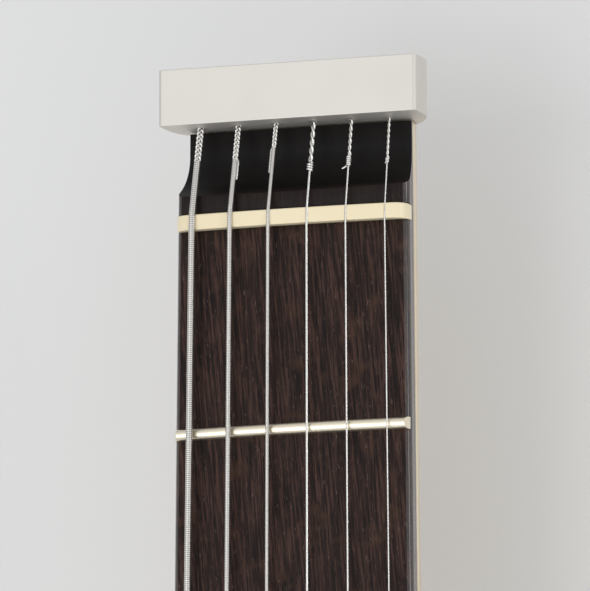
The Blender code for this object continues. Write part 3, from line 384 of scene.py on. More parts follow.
@dataclass(frozen=True)
class Wood:
    """Sawn, sanded and finished wood, its grain along the neck.

    The streaks, flecks and pores have the sizes that they have in the real wood, in metres.
    """

    name: str
    tones: tuple[str, str, str]
    streak: Point
    pore: Point
    pore_colour: str
    pore_share: float
    patch_colour: str
    patch_share: float
    roughness: float
    coat: float = 0.0
    shine: float = 0.5
    lean: float = 0.0
    fleck_colour: str = ""
    # painted shade behind the nut and in the scoop, if the wood has any
    shelf: ShelfAndScoopShade | None = None
    # The values of its noise between which each mark fades in
    streak_stops: ClassVar[tuple[float, float, float]] = (0.38, 0.5, 0.62)
    patch_range: ClassVar[Point] = (0.55, 0.74)
    pore_range: ClassVar[Point] = (0.60, 0.68)
    fleck_range: ClassVar[Point] = (0.69, 0.76)
    fleck_share: ClassVar[float] = 0.55
    pore_depth: ClassVar[float] = 0.03 * MM

    def noise(self, look: Sketch, size: Point, detail: float, distortion: float = 0.0) -> Socket:
        """A noise stretched along the grain.

        Args:
            look: the material's tree.
            size: the pattern's width and length.
            detail: how many finer layers it has.
            distortion: how much it wanders.

        Returns:
            The noise's value.
        """
        place = look.stretched(size[0], size[1], size[0], self.lean)
        node = look.add(
            "TexNoise", {"Vector": place}, scale=1.0, detail=detail, roughness=0.6, distortion=distortion
        )
        return node.outputs["Fac"]

    def build(self) -> Material:
        """Make the material.

        Returns:
            The wood's material: streaks, broad patches, flecks and open pores.
        """
        look = Sketch(self.name)
        pale, middle, dark = self.tones
        width, length = self.streak
        streaks = self.noise(look, self.streak, 5.0, 0.4)
        base = look.ramp(streaks, tuple(zip(self.streak_stops, (dark, middle, pale))))
        broad = self.noise(look, (width * 11, length * 0.5), 2.0)
        share = look.between(broad, *self.patch_range, 0.0, self.patch_share)
        base = look.mixed(share, base, look.colour(self.patch_colour))
        pores = self.noise(look, self.pore, 1.0)
        open_pores = look.between(pores, *self.pore_range, 0.0, self.pore_share)
        base = look.mixed(open_pores, base, look.colour(self.pore_colour))
        if self.fleck_colour:
            flecks = self.noise(look, (self.pore[0] * 1.3, self.pore[1] * 0.6), 1.0, 0.2)
            share = look.between(flecks, *self.fleck_range, 0.0, self.fleck_share)
            base = look.mixed(share, base, look.colour(self.fleck_colour))
        # Painted shade: the board behind the nut is darkened, and the scoop is made nearly black
        if self.shelf:
            base = self.paint_shelf_shade(look, base, self.shelf)
        look.feed("Base Color", base)
        look.feed("Roughness", look.between(streaks, 0.3, 0.7, self.roughness + 0.06, self.roughness))
        look.set(ior=1.5, coat_weight=self.coat, coat_roughness=0.12, specular_ior_level=self.shine)
        look.bump(look.between(open_pores, 0.0, 1.0, 1.0, 0.0), self.pore_depth, 0.5)
        return look.material

    @staticmethod
    def paint_shelf_shade(look: Sketch, base: Socket, shelf: ShelfAndScoopShade) -> Socket:
        """Paint shade onto the wood behind the nut, and a darker painted shade into the scoop.

        Args:
            look: the material's tree.
            base: the wood's colour so far.
            shelf: the places and colours of the painted shade.

        Returns:
            The colour with painted shade on both parts.
        """
        place = look.add("SeparateXYZ", {"Vector": look.add("TexCoord").outputs["Object"]}).outputs
        past_nut = look.between(place["Y"], shelf.start, shelf.start + shelf.fade, 0.0, shelf.share)
        base = look.mixed(past_nut, base, look.colour(shelf.colour))
        scoop_end = shelf.scoop_start + shelf.scoop_fade
        past = look.between(place["Y"], shelf.scoop_start, scoop_end, 0.0, shelf.scoop_shade_share)
        under = look.between(place["Z"], shelf.scoop_top - shelf.scoop_rim, shelf.scoop_top, 1.0, 0.0)
        both = look.add("Math", {"0": past, "1": under}, operation="MULTIPLY").outputs["Value"]
        return look.mixed(both, base, look.colour(shelf.scoop_shade_colour))


@dataclass(frozen=True)
class Metal:
    """A solid metal with the marks that its making left."""

    name: str
    colour: str
    roughness: float
    spread: float
    grit: float
    relief: float = 0.0
    brushed: bool = False
    drawn_out: ClassVar[int] = 40  # how much longer than wide the tool's marks are
    cloud: ClassVar[float] = 12 * MM  # the size of the gloss's slow changes

    def build(self) -> Material:
        """Make the material.

        Returns:
            The metal's material: an uneven gloss and a fine relief of the grit's size.
        """
        look = Sketch(self.name)
        look.set(base_color=linear(self.colour), metallic=1.0)
        long = self.grit * self.drawn_out if self.brushed else self.grit
        grain = look.add(
            "TexNoise", {"Vector": look.stretched(long, self.grit, self.grit)}, scale=1.0, detail=4.0
        )
        size = self.cloud
        cloud = look.add("TexNoise", {"Vector": look.stretched(size, size, size)}, scale=1.0, detail=3.0)
        both = look.add("Math", {"0": grain.outputs["Fac"], "1": cloud.outputs["Fac"]}, operation="MULTIPLY")
        low, high = self.roughness - self.spread, self.roughness + self.spread
        look.feed("Roughness", look.between(both.outputs["Value"], 0.1, 0.4, low, high))
        if self.relief:
            look.bump(grain.outputs["Fac"], self.relief, 0.5)
        return look.material


@dataclass(frozen=True)
class Wound:
    """A string wound with fine wire: rings across it that follow its own length, with painted shade in the grooves
    between them.
    """

    name: str
    colour: str
    # the colour of the painted shade in the grooves between the wraps
    groove: str
    pitch: float
    depth: float = 0.13

    def build(self) -> Material:
        """Make the material.

        Returns:
            The wound string's material, its rings and their painted groove shade read from the string's UV map in
            metres.
        """
        look = Sketch(self.name)
        look.set(metallic=1.0, roughness=0.36)
        along = look.add("SeparateXYZ", {"Vector": look.add("UVMap").outputs["UV"]}).outputs["X"]
        phase = look.add("Math", {"0": along}, operation="MULTIPLY")
        phase.inputs[1].default_value = 2 * math.pi / self.pitch
        wave = look.add("Math", {"0": phase.outputs["Value"]}, operation="SINE").outputs["Value"]
        height = look.between(wave, -1.0, 1.0, 0.0, 1.0)
        # Painted shade in the grooves, fading to the wire's own colour on the wraps' crowns
        look.feed("Base Color", look.ramp(height, ((0.0, self.groove), (0.5, self.colour))))
        look.bump(height, self.pitch * self.depth, 0.8)
        return look.material


@dataclass(frozen=True)
class Moulded:
    """A moulded or cut polymer, with the faint texture that its tool left."""

    name: str
    colour: str
    second: str
    roughness: float
    grit: float
    relief: float
    coat: float = 0.0
    glow: float = 0.0
    cloud: ClassVar[float] = 9 * MM  # the size of the colour's slow changes
    glow_reach: ClassVar[Place] = (2 * MM, 1.5 * MM, 1 * MM)  # how far red, green and blue light spread inside

    def build(self) -> Material:
        """Make the material.

        Returns:
            The polymer's material.
        """
        look = Sketch(self.name)
        size = self.cloud
        cloud = look.add("TexNoise", {"Vector": look.stretched(size, size, size)}, scale=1.0, detail=4.0)
        colours = ((0.3, self.second), (0.7, self.colour))
        look.feed("Base Color", look.ramp(cloud.outputs["Fac"], colours))
        grain = look.add(
            "TexNoise", {"Vector": look.stretched(self.grit, self.grit, self.grit)}, scale=1.0, detail=2.0
        )
        low, high = self.roughness - 0.05, self.roughness + 0.07
        look.feed("Roughness", look.between(grain.outputs["Fac"], 0.3, 0.7, low, high))
        look.set(ior=1.5, coat_weight=self.coat, coat_roughness=0.1, subsurface_weight=self.glow)
        look.set(subsurface_radius=self.glow_reach)
        look.bump(grain.outputs["Fac"], self.relief, 0.5)
        return look.material


class Palette:
    """Every finish of the guitar, made once."""

    def __init__(self, nut_back: float, shelf_end: float, scoop_top: float) -> None:
        """Make all the materials.

        Args:
            nut_back: where the board's shelf starts behind the nut, along the neck.
            shelf_end: where the shelf ends and the scoop starts.
            scoop_top: the height that only the scoop lies below.
        """
        # Oiled rosewood: dark brown with streaks that lean a little and open pores; painted shade darkens the
        # shelf behind the nut, and a painted shade makes the carved scoop nearly black
        rosewood = Wood(
            "oiled_rosewood", tones=("#46302A", "#291A16", "#140B09"), streak=(0.40 * MM, 9 * MM),
            pore=(0.16 * MM, 2.6 * MM), pore_colour="#0E0807", pore_share=0.85, patch_colour="#4A3226",
            patch_share=0.6, roughness=0.48, shine=0.2, lean=-5.0, fleck_colour="#766258",
            shelf=ShelfAndScoopShade(nut_back, shelf_end, scoop_top),
        )
        self.rosewood = rosewood.build()
        # The board's sides are lacquered with the neck: the same wood under a clear glossy coat
        self.rosewood_side = replace(
            rosewood, name="lacquered_rosewood_side", coat=1.0, roughness=0.35, shine=0.5, shelf=None
        ).build()
        # Hard maple under satin lacquer: cream, close grain, hardly any pores
        self.maple = Wood(
            "lacquered_maple", tones=("#F0E3CB", "#E8D8BB", "#DCC8A6"), streak=(1.3 * MM, 60 * MM),
            pore=(0.25 * MM, 3 * MM), pore_colour="#C8AE88", pore_share=0.3, patch_colour="#E0CBA6",
            patch_share=0.5, roughness=0.36, coat=0.3,
        ).build()
        # Oiled alder: warm brown with a soft darker figure and fine pores
        self.alder = Wood(
            "oiled_alder", tones=("#B98D65", "#A17854", "#8A6545"), streak=(2.2 * MM, 70 * MM),
            pore=(0.25 * MM, 4 * MM), pore_colour="#5E4029", pore_share=0.6, patch_colour="#8C6443",
            patch_share=0.5, roughness=0.42, coat=0.15, lean=2.0,
        ).build()
        # Bead-blasted and satin anodised aluminium: pale, even, with soft highlights
        self.satin = Metal(
            "satin_anodised_aluminium", "#E0DCD6", roughness=0.60, spread=0.04, grit=0.10 * MM, relief=0.003 * MM
        ).build()
        # Nickel silver fret wire, polished along its crown: a warm white metal
        self.nickel = Metal("polished_nickel_silver", "#F0E6D0", roughness=0.34, spread=0.05, grit=0.2 * MM).build()
        # Drawn steel wire with a thin tin coat: a bright, nearly white thread
        self.wire = Metal("tinned_steel_wire", "#ECEAE6", roughness=0.26, spread=0.05, grit=0.3 * MM).build()
        # Turned steel: grey, with the fine rings of the lathe's tool
        self.steel = Metal(
            "turned_steel", "#B4B3B1", roughness=0.30, spread=0.07, grit=0.12 * MM, relief=0.003 * MM, brushed=True
        ).build()
        # Polished chrome plate: a sharp cool mirror
        self.chrome = Metal("chromed_brass", "#DADBDD", roughness=0.09, spread=0.03, grit=0.4 * MM).build()
        # Drawn brass, bare: yellow and half bright
        self.brass = Metal("drawn_brass", "#D6B26A", roughness=0.25, spread=0.06, grit=0.3 * MM).build()
        # Nickel-plated brass, turned and then tumbled to a soft shine
        self.brass_plate = Metal(
            "nickel_plated_brass", "#CFCBC2", roughness=0.24, spread=0.05, grit=0.15 * MM, relief=0.002 * MM,
            brushed=True,
        ).build()
        # Baked enamel over cast zinc: black, with a slightly uneven gloss
        self.enamel = Moulded(
            "black_enamel", "#1B1B1C", "#161617", roughness=0.30, grit=0.9 * MM, relief=0.006 * MM, coat=0.4
        ).build()
        # Polished cream polymer, slightly translucent
        self.cream = Moulded(
            "polished_cream_nut", "#F1E4C2", "#EEDFBC", roughness=0.34, grit=0.3 * MM, relief=0.003 * MM,
            coat=0.2, glow=0.1,
        ).build()
        # Moulded plastic: black, with the matt skin of a spark-eroded mould
        self.black = Moulded(
            "moulded_black_plastic", "#1F1F20", "#1A1A1A", roughness=0.42, grit=0.25 * MM, relief=0.01 * MM
        ).build()
        # Pressed pearl: pale, cloudy, glossy
        self.pearl = Moulded(
            "pearl_dot", "#E9E8E4", "#CFD3D2", roughness=0.2, grit=0.6 * MM, relief=0.002 * MM, coat=0.6
        ).build()
        # White filler, rubbed into a cut line or hole and sanded flush: plain white
        self.white = Moulded(
            "white_fill", "#ECECEA", "#E2E2E0", roughness=0.5, grit=0.3 * MM, relief=0.002 * MM
        ).build()
        # Closed-cell foam rubber: matt, with a skin of fine cells
        self.foam = Moulded(
            "foam_rubber", "#262627", "#1C1C1D", roughness=0.82, grit=0.45 * MM, relief=0.06 * MM
        ).build()


# Modelling


def deselect() -> None:
    """Deselect everything."""
    bpy.ops.object.select_all(action="DESELECT")


def select_only(piece: Piece) -> None:
    """Select one object and make it active.

    Args:
        piece: the object to select.
    """
    deselect()
    piece.select_set(True)
    bpy.context.view_layer.objects.active = piece


@contextmanager
def editing(piece: Piece) -> Iterator[None]:
    """Open a piece in edit mode with all of it selected, and leave edit mode at the end.

    Args:
        piece: the object to edit.

    Yields:
        None: the edit's steps run meanwhile.
    """
    select_only(piece)
    bpy.ops.object.mode_set(mode="EDIT")
    bpy.ops.mesh.select_all(action="SELECT")
    yield
    bpy.ops.object.mode_set(mode="OBJECT")


def linked(name: str, data: bpy.types.ID) -> Piece:
    """Put a mesh, a camera or a lamp into the scene.

    Args:
        name: the new object's name.
        data: what it shows.

    Returns:
        The new object.
    """
    piece = bpy.data.objects.new(name, data)
    bpy.context.scene.collection.objects.link(piece)
    return piece


def settle(piece: Piece) -> Piece:
    """Move an object's place, turn and size into its mesh.

    Args:
        piece: the object to settle.

    Returns:
        The same object.
    """
    select_only(piece)
    bpy.ops.object.transform_apply(location=True, rotation=True, scale=True)
    return piece


def tidy(piece: Piece, smooth: float = 30.0) -> Piece:
    """Merge doubled points, turn faces outwards and shade round parts smooth.

    Args:
        piece: the object to finish.
        smooth: faces that meet at less than this many degrees are shaded as one.

    Returns:
        The same object.
    """
    with editing(piece):
        bpy.ops.mesh.remove_doubles(threshold=MERGE)
        bpy.ops.mesh.dissolve_degenerate(threshold=MERGE)
        bpy.ops.mesh.normals_make_consistent(inside=False)
    bpy.ops.object.shade_smooth_by_angle(angle=math.radians(smooth))
    return piece


def filled_outline(name: str, points: Sequence[Place]) -> Piece:
    """A filled ring primitive whose points are moved onto an outline.

    Args:
        name: the new object's name.
        points: the outline's corners in order.

    Returns:
        A flat object.
    """
    deselect()
    bpy.ops.mesh.primitive_circle_add(vertices=len(points), radius=1.0, fill_type="NGON")
    piece = bpy.context.object
    piece.name = name
    for vertex, place in zip(piece.data.vertices, points):
        vertex.co = place
    return piece


def extruded(name: str, points: Sequence[Place], travel: Place) -> Piece:
    """An outline drawn out to a solid.

    Args:
        name: the new object's name.
        points: the outline's corners in order.
        travel: how far, and in which direction, the outline is extruded.

    Returns:
        A closed solid.
    """
    piece = filled_outline(name, points)
    with editing(piece):
        bpy.ops.mesh.extrude_region_move(TRANSFORM_OT_translate={"value": travel})
    return tidy(piece)


def cuboid(name: str, low: Place, high: Place) -> Piece:
    """A box primitive between two corners.

    Args:
        name: the new object's name.
        low: its lowest corner.
        high: its highest corner.

    Returns:
        A closed solid.
    """
    deselect()
    size = [top - bottom for bottom, top in zip(low, high)]
    centre = [(top + bottom) / 2 for bottom, top in zip(low, high)]
    bpy.ops.mesh.primitive_cube_add(size=1, location=centre, scale=size)
    bpy.context.object.name = name
    return settle(bpy.context.object)


def round_bar(name: str, radius: float, start: Place, end: Place, sides: int = 32) -> Piece:
    """A round bar between two points, also used as a drill.

    Args:
        name: the new object's name.
        radius: its radius.
        start: where its axis starts.
        end: where its axis ends.
        sides: how many facets it has.

    Returns:
        A closed solid.
    """
    deselect()
    way = Vector(end) - Vector(start)
    middle = (Vector(start) + Vector(end)) / 2
    bpy.ops.mesh.primitive_cylinder_add(vertices=sides, radius=radius, depth=way.length, location=middle)
    bar = bpy.context.object
    bar.name = name
    bar.rotation_mode = "QUATERNION"
    bar.rotation_quaternion = Axis.Z.value.rotation_difference(way)
    return settle(bar)


def bevel_where(
    piece: Piece, width: float, segments: int, wanted: Callable[[Vector], bool], angle: float = 50.0
) -> Piece:
    """Round the sharp edges whose two ends pass a test.

    Args:
        piece: the object to change.
        width: the round's width.
        segments: how many facets the round has.
        wanted: the test on a point's place.
        angle: edges between flatter faces stay, in degrees.

    Returns:
        The same object.
    """
    with editing(piece):
        bpy.ops.mesh.select_mode(type="EDGE")
        bpy.ops.mesh.select_all(action="DESELECT")
        form = bmesh.from_edit_mesh(piece.data)
        for edge in form.edges:
            sharp = len(edge.link_faces) == 2 and edge.calc_face_angle() > math.radians(angle)
            edge.select_set(sharp and all(wanted(vertex.co) for vertex in edge.verts))
        bmesh.update_edit_mesh(piece.data)
        bpy.ops.mesh.bevel(offset=width, segments=segments, profile=0.5, clamp_overlap=True)
        bpy.ops.mesh.select_mode(type="VERT")
    return tidy(piece, smooth=40)


def twin(piece: Piece, name: str, move: Matrix) -> Piece:
    """A copy of a piece with its own mesh, moved by a matrix.

    Args:
        piece: the object to copy.
        name: the copy's name.
        move: where the copy goes; it may mirror.

    Returns:
        The copy.
    """
    mesh = piece.data.copy()
    mesh.transform(move)
    copy = linked(name, mesh)
    return tidy(copy, smooth=40) if move.determinant() < 0 else copy


def remove(*pieces: Piece) -> None:
    """Remove pieces that were only there to be copied."""
    for piece in pieces:
        bpy.data.objects.remove(piece, do_unlink=True)


def turned(name: str, profile: Sequence[Point], place: Place, axis: Axis = Axis.Z, steps: int = 48) -> Piece:
    """A closed profile of (radius, height) points turned round an axis.

    Args:
        name: the new object's name.
        profile: the profile's corners in order, touching the axis or clear of it.
        place: where height 0 lies on the axis.
        axis: the direction in which heights grow.
        steps: number of facets round the axis.

    Returns:
        A closed solid.
    """
    piece = filled_outline(name, [(radius, 0, height) for radius, height in profile])
    with editing(piece):
        bpy.ops.mesh.delete(type="ONLY_FACE")
        bpy.ops.mesh.select_all(action="SELECT")
        bpy.ops.mesh.spin(
            steps=steps, dupli=False, angle=2 * math.pi, center=(0, 0, 0), axis=(0, 0, 1), use_auto_merge=True
        )
    piece.rotation_mode = "QUATERNION"
    piece.rotation_quaternion = Axis.Z.value.rotation_difference(axis.value)
    piece.location = place
    settle(piece)
    return tidy(piece)


def modify(piece: Piece, kind: str, **settings: object) -> Piece:
    """Add a modifier, set it and apply it.

    Args:
        piece: the object to change.
        kind: the modifier's type.
        **settings: the modifier's properties.

    Returns:
        The same object.
    """
    select_only(piece)
    modifier = piece.modifiers.new(kind.title(), kind)
    for name, value in settings.items():
        setattr(modifier, name, value)
    bpy.ops.object.modifier_apply(modifier=modifier.name)
    return piece


def cut(piece: Piece, *cutters: Piece, join: bool = False) -> Piece:
    """Cut a solid with others, or join them to it, and remove those.

    Args:
        piece: the object to change.
        cutters: the solids to cut with or to join.
        join: whether they are joined.

    Returns:
        The same object.
    """
    for cutter in cutters:
        modify(piece, "BOOLEAN", operation="UNION" if join else "DIFFERENCE", object=cutter)
        bpy.data.objects.remove(cutter, do_unlink=True)
    return piece


def drill(piece: Piece, radius: float, start: Place, end: Place, sides: int = 32) -> Piece:
    """Cut a round hole through a piece from one point to another."""
    return cut(piece, round_bar("drill", radius, start, end, sides))


def rounded(piece: Piece, width: float, segments: int = 3, angle: float = 35.0) -> Piece:
    """Round every edge that is sharper than an angle.

    Args:
        piece: the object to change.
        width: the round's width.
        segments: how many facets the round has.
        angle: edges between flatter faces stay, in degrees.

    Returns:
        The same object.
    """
    modify(
        piece,
        "BEVEL",
        width=width,
        segments=segments,
        limit_method="ANGLE",
        angle_limit=math.radians(angle),
        use_clamp_overlap=True,
        harden_normals=False,
    )
    return tidy(piece, smooth=40)


def copy_of(node: str, name: str) -> Piece:
    """A merged copy of a CAD node's mesh, to be refined.

    Args:
        node: the CAD node.
        name: the new piece's name.

    Returns:
        The copy, with flat areas made single faces.
    """
    source = FRAME["nodes"][node]
    piece = linked(name, source.data.copy())
    piece.matrix_world = source.matrix_world
    piece.data.materials.clear()
    with editing(piece):
        bpy.ops.mesh.remove_doubles(threshold=MERGE)
        bpy.ops.mesh.dissolve_limited(angle_limit=math.radians(0.5))
    return piece


def swept(
    name: str,
    route: Sequence[Vector],
    radius: float | Callable[[float], float],
    sides: int = 12,
    ripple: Callable[[float, float], float] | None = None,
) -> Piece:
    """A round wire along a route, its UV map holding the distance along it in metres.

    Args:
        name: the new object's name.
        route: the wire's axis.
        radius: the wire's radius, or a function of the distance along it.
        sides: number of facets round the wire.
        ripple: what is added to the radius at a distance and an angle.

    Returns:
        A closed tube.
    """
    form = bmesh.new()
    layer = form.loops.layers.uv.new("length")
    up = None
    distance = 0.0
    rings: list[list[bmesh.types.BMVert]] = []
    lengths: list[float] = []
    for here, place in enumerate(route):
        before = route[max(here - 1, 0)]
        after = route[min(here + 1, len(route) - 1)]
        along = (after - before).normalized()
        if up is None:
            up = along.orthogonal()
        up = (up - along * up.dot(along)).normalized()
        side = along.cross(up)
        if here:
            distance += (place - before).length
        size = radius(distance) if callable(radius) else radius
        ring = []
        for step in range(sides):
            turn = 2 * math.pi * step / sides
            reach = size + (ripple(distance, turn) if ripple else 0.0)
            ring.append(form.verts.new(place + (up * math.cos(turn) + side * math.sin(turn)) * reach))
        rings.append(ring)
        lengths.append(distance)
    for row, (ring, following) in enumerate(zip(rings, rings[1:])):
        for here in range(sides):
            beside = (here + 1) % sides
            face = form.faces.new((ring[here], ring[beside], following[beside], following[here]))
            values = (lengths[row], lengths[row], lengths[row + 1], lengths[row + 1])
            turns = (here, here + 1, here + 1, here)
            for loop, length, turn in zip(face.loops, values, turns):
                loop[layer].uv = (length, turn / sides)
    form.faces.new(rings[0])
    form.faces.new(rings[-1])
    mesh = bpy.data.meshes.new(name)
    form.to_mesh(mesh)
    form.free()
    return tidy(linked(name, mesh), smooth=60)


def dress(piece: Piece, material: Material, body: str = ROOT, replaces: Iterable[str] = ()) -> Piece:
    """Give a piece its material, its body and the nodes that it stands for.

    Args:
        piece: the finished piece.
        material: its finish.
        body: the CAD body that it rides on.
        replaces: the CAD nodes that it replaces.

    Returns:
        The same object.
    """
    settle(piece)
    piece.data.materials.clear()
    piece.data.materials.append(material)
    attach(piece, body)
    nodes = tuple(replaces)
    if nodes:
        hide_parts(*nodes)
    log.info("%s: %d faces", piece.name, len(piece.data.polygons))
    return piece


def stand_in(piece: Piece, material: Material, node: str, body: str = ROOT) -> Piece:
    """Let a piece take a CAD node's place."""
    return dress(piece, material, body, [node])


def second_finish(piece: Piece, material: Material, wanted: Callable[[Vector, Vector], bool]) -> None:
    """Give some faces another material.

    Args:
        piece: a dressed piece.
        material: the other material.
        wanted: the test on a face's centre and normal.
    """
    piece.data.materials.append(material)
    for face in piece.data.polygons:
        if wanted(face.center, face.normal):
            face.material_index = 1


def arc(centre: Point, radius: float, start: float, end: float, steps: int) -> list[Point]:
    """Points on an arc, its angles in degrees."""
    turns = [math.radians(start + (end - start) * step / steps) for step in range(steps + 1)]
    return [(centre[0] + radius * math.cos(turn), centre[1] + radius * math.sin(turn)) for turn in turns]


def chamfered(radius: float, half: float, edge: float, bore: float = 0.0) -> list[Point]:
    """The profile of a bar or a ring about the origin, with a chamfer at both rims.

    Args:
        radius: its outer radius.
        half: half of its length.
        edge: the chamfers' width.
        bore: the radius of the hole through it.

    Returns:
        The profile's corners.
    """
    rims = [(radius - edge, -half), (radius, edge - half), (radius, half - edge), (radius - edge, half)]
    return [(bore, -half), *rims, (bore, half)]


def crowned(reach: float, steps: int, lift: float = 0.0) -> list[Point]:
    """Points along the playing surface's crown, from the treble side to the bass side.

    Args:
        reach: how far from the centre line it starts and ends.
        steps: how many pieces it has.
        lift: how far it lies above the board.

    Returns:
        The points, with both ends.
    """
    places = [reach * (1 - 2 * step / steps) for step in range(steps + 1)]
    return [(x, SCALE.crown_at(x) + lift) for x in places]


def rolled_top(half: float, roll: float, lean: float, facets: int, steps: int, lift: float = 0.0) -> list[Point]:
    """A crowned top from its treble side to its bass side, with rolled edges.

    Args:
        half: half of its width.
        roll: the radius of its edges.
        lean: how far the edges go on below the level, in degrees.
        facets: how many pieces each edge has.
        steps: how many pieces the crown has.
        lift: how far it lies above the board.

    Returns:
        The outline's points.
    """
    inner = half - roll
    edge = SCALE.crown_at(inner) + lift - roll
    treble, bass = arc((inner, edge), roll, -lean, 86, facets), arc((-half + roll, edge), roll, 94, 180 + lean, facets)
    return treble + crowned(inner, steps, lift)[1:-1] + bass


# The head end


@dataclass
class HeadBlock:
    """The satin block in which the strings end: flat in front, rounded like the neck behind."""

    length: float = 9.82 * MM
    half_width: float = 23.4 * MM
    shift: float = 0.1 * MM
    front: float = 2.4 * MM
    side: float = 4 * MM
    depth: float = 16 * MM
    corner: float = 0.7 * MM
    edge: float = 0.14 * MM
    hole: float = 0.95 * MM
    lip: float = 0.1 * MM
    ball: float = 2.2 * MM
    ball_pocket: float = 6 * MM
    screw_x: float = 8.5 * MM
    screw_depth: float = 10.5 * MM
    screw_head: float = 3.5 * MM
    screw_height: float = 4 * MM
    screw_length: float = 22 * MM
    shank: float = 2 * MM
    socket: float = 1.9 * MM
    facets: int = 64

    @property
    def far(self) -> float:
        """The guitar's head end."""
        return SCALE.block_face + self.length

    def build(self, palette: Palette) -> None:
        """Model the block, its holes and its screws.

        Args:
            palette: the guitar's finishes.
        """
        front = SCALE.board_top + self.front
        inner = self.half_width - self.corner
        points = arc((-inner, front - self.corner), self.corner, 180, 90, 6)
        points += arc((inner, front - self.corner), self.corner, 90, 0, 6)
        for step in range(self.facets + 1):
            turn = math.pi * step / self.facets
            z = front - self.side - self.depth * math.sin(turn)
            points.append((self.half_width * math.cos(turn), z))
        outline = [(x + self.shift, SCALE.block_face, z) for x, z in points]
        block = extruded("head_block", outline, (0, self.length, 0))
        rounded(block, self.edge, segments=2, angle=50)
        hole, ball, pocket, end = self.hole, self.ball, self.length - self.ball_pocket, self.length + self.lip
        profile = [(0, 0), (hole, 0), (hole, pocket), (ball, pocket), (ball, end), (0, end)]
        for index, _ in SCALE.strings():
            x, _, z = SCALE.hole(index)
            place = (x, SCALE.block_face - self.lip / 2, z)
            cut(block, turned("string_hole", profile, place, Axis.Y, 32))
        bore, shank = self.screw_head + 0.3 * MM, self.shank + 0.3 * MM
        floor, end = self.length - self.screw_height - 0.6 * MM, self.length + BEYOND
        profile = [(0, -BEYOND), (shank, -BEYOND), (shank, floor), (bore, floor), (bore, end), (0, end)]
        for sign in (-1, 1):
            place = (sign * self.screw_x, SCALE.block_face, SCALE.board_top - self.screw_depth)
            cut(block, turned("screw_hole", profile, place, Axis.Y, 32))
        stand_in(tidy(block, smooth=35), palette.satin, "head_block")
        for side in Side:
            self.build_screw(side, palette)

    def build_screw(self, side: Side, palette: Palette) -> None:
        """Model a cap screw with its hexagon socket.

        Args:
            side: the side that it is on.
            palette: the guitar's finishes.
        """
        head, shank, high, length, edge = self.screw_head, self.shank, self.screw_height, self.screw_length, 0.4 * MM
        profile = [(0, high), (head - edge, high), (head, high - edge), (head, 0), (shank, 0)]
        profile += [(shank, edge - length), (shank - edge, -length), (0, -length)]
        place = (side.value * self.screw_x, self.far - high, SCALE.board_top - self.screw_depth)
        name = "head_block_screw_" + side.name.lower()
        screw = turned(name, profile, place, Axis.Y, 40)
        deselect()
        bpy.ops.mesh.primitive_cylinder_add(vertices=6, radius=self.socket, depth=5 * MM)
        socket = bpy.context.object
        socket.rotation_euler = (math.pi / 2, 0, 0)
        socket.location = (place[0], self.far + 0.1 * MM, place[2])
        cut(screw, settle(socket))
        stand_in(tidy(screw, smooth=35), palette.steel, name)


@dataclass
class Nut:
    """The cream nut, crowned like the board, with a shallow slot under each string."""

    thickness: float = 2.67 * MM
    top: float = 1.62 * MM
    seat: float = 2.75 * MM
    roll: float = 2.6 * MM
    edge: float = 0.22 * MM
    slot_fit: float = 0.04 * MM

    def build(self, palette: Palette) -> None:
        """Model the nut.

        Args:
            palette: the guitar's finishes.
        """
        half = SCALE.half_width(SCALE.length)
        bottom = SCALE.board_top - self.seat
        points = [(-half, bottom), (half, bottom), *rolled_top(half, self.roll, 0, 10, 24, self.top)]
        nut = extruded("nut", [(x, SCALE.length, z) for x, z in points], (0, self.thickness, 0))
        rounded(nut, self.edge, segments=3, angle=50)
        for index, diameter in enumerate(SCALE.diameters):
            deselect()
            radius = diameter / 2 + self.slot_fit
            bpy.ops.mesh.primitive_cylinder_add(vertices=24, radius=radius, depth=3 * self.thickness)
            slot = bpy.context.object
            slot.rotation_euler = (math.pi / 2, 0, 0)
            slot.location = (
                SCALE.string_x(index, SCALE.length),
                SCALE.length + self.thickness / 2,
                SCALE.string_z(index, SCALE.length) + 0.02 * MM,
            )
            cut(nut, settle(slot))
        stand_in(tidy(nut, smooth=40), palette.cream, "nut")


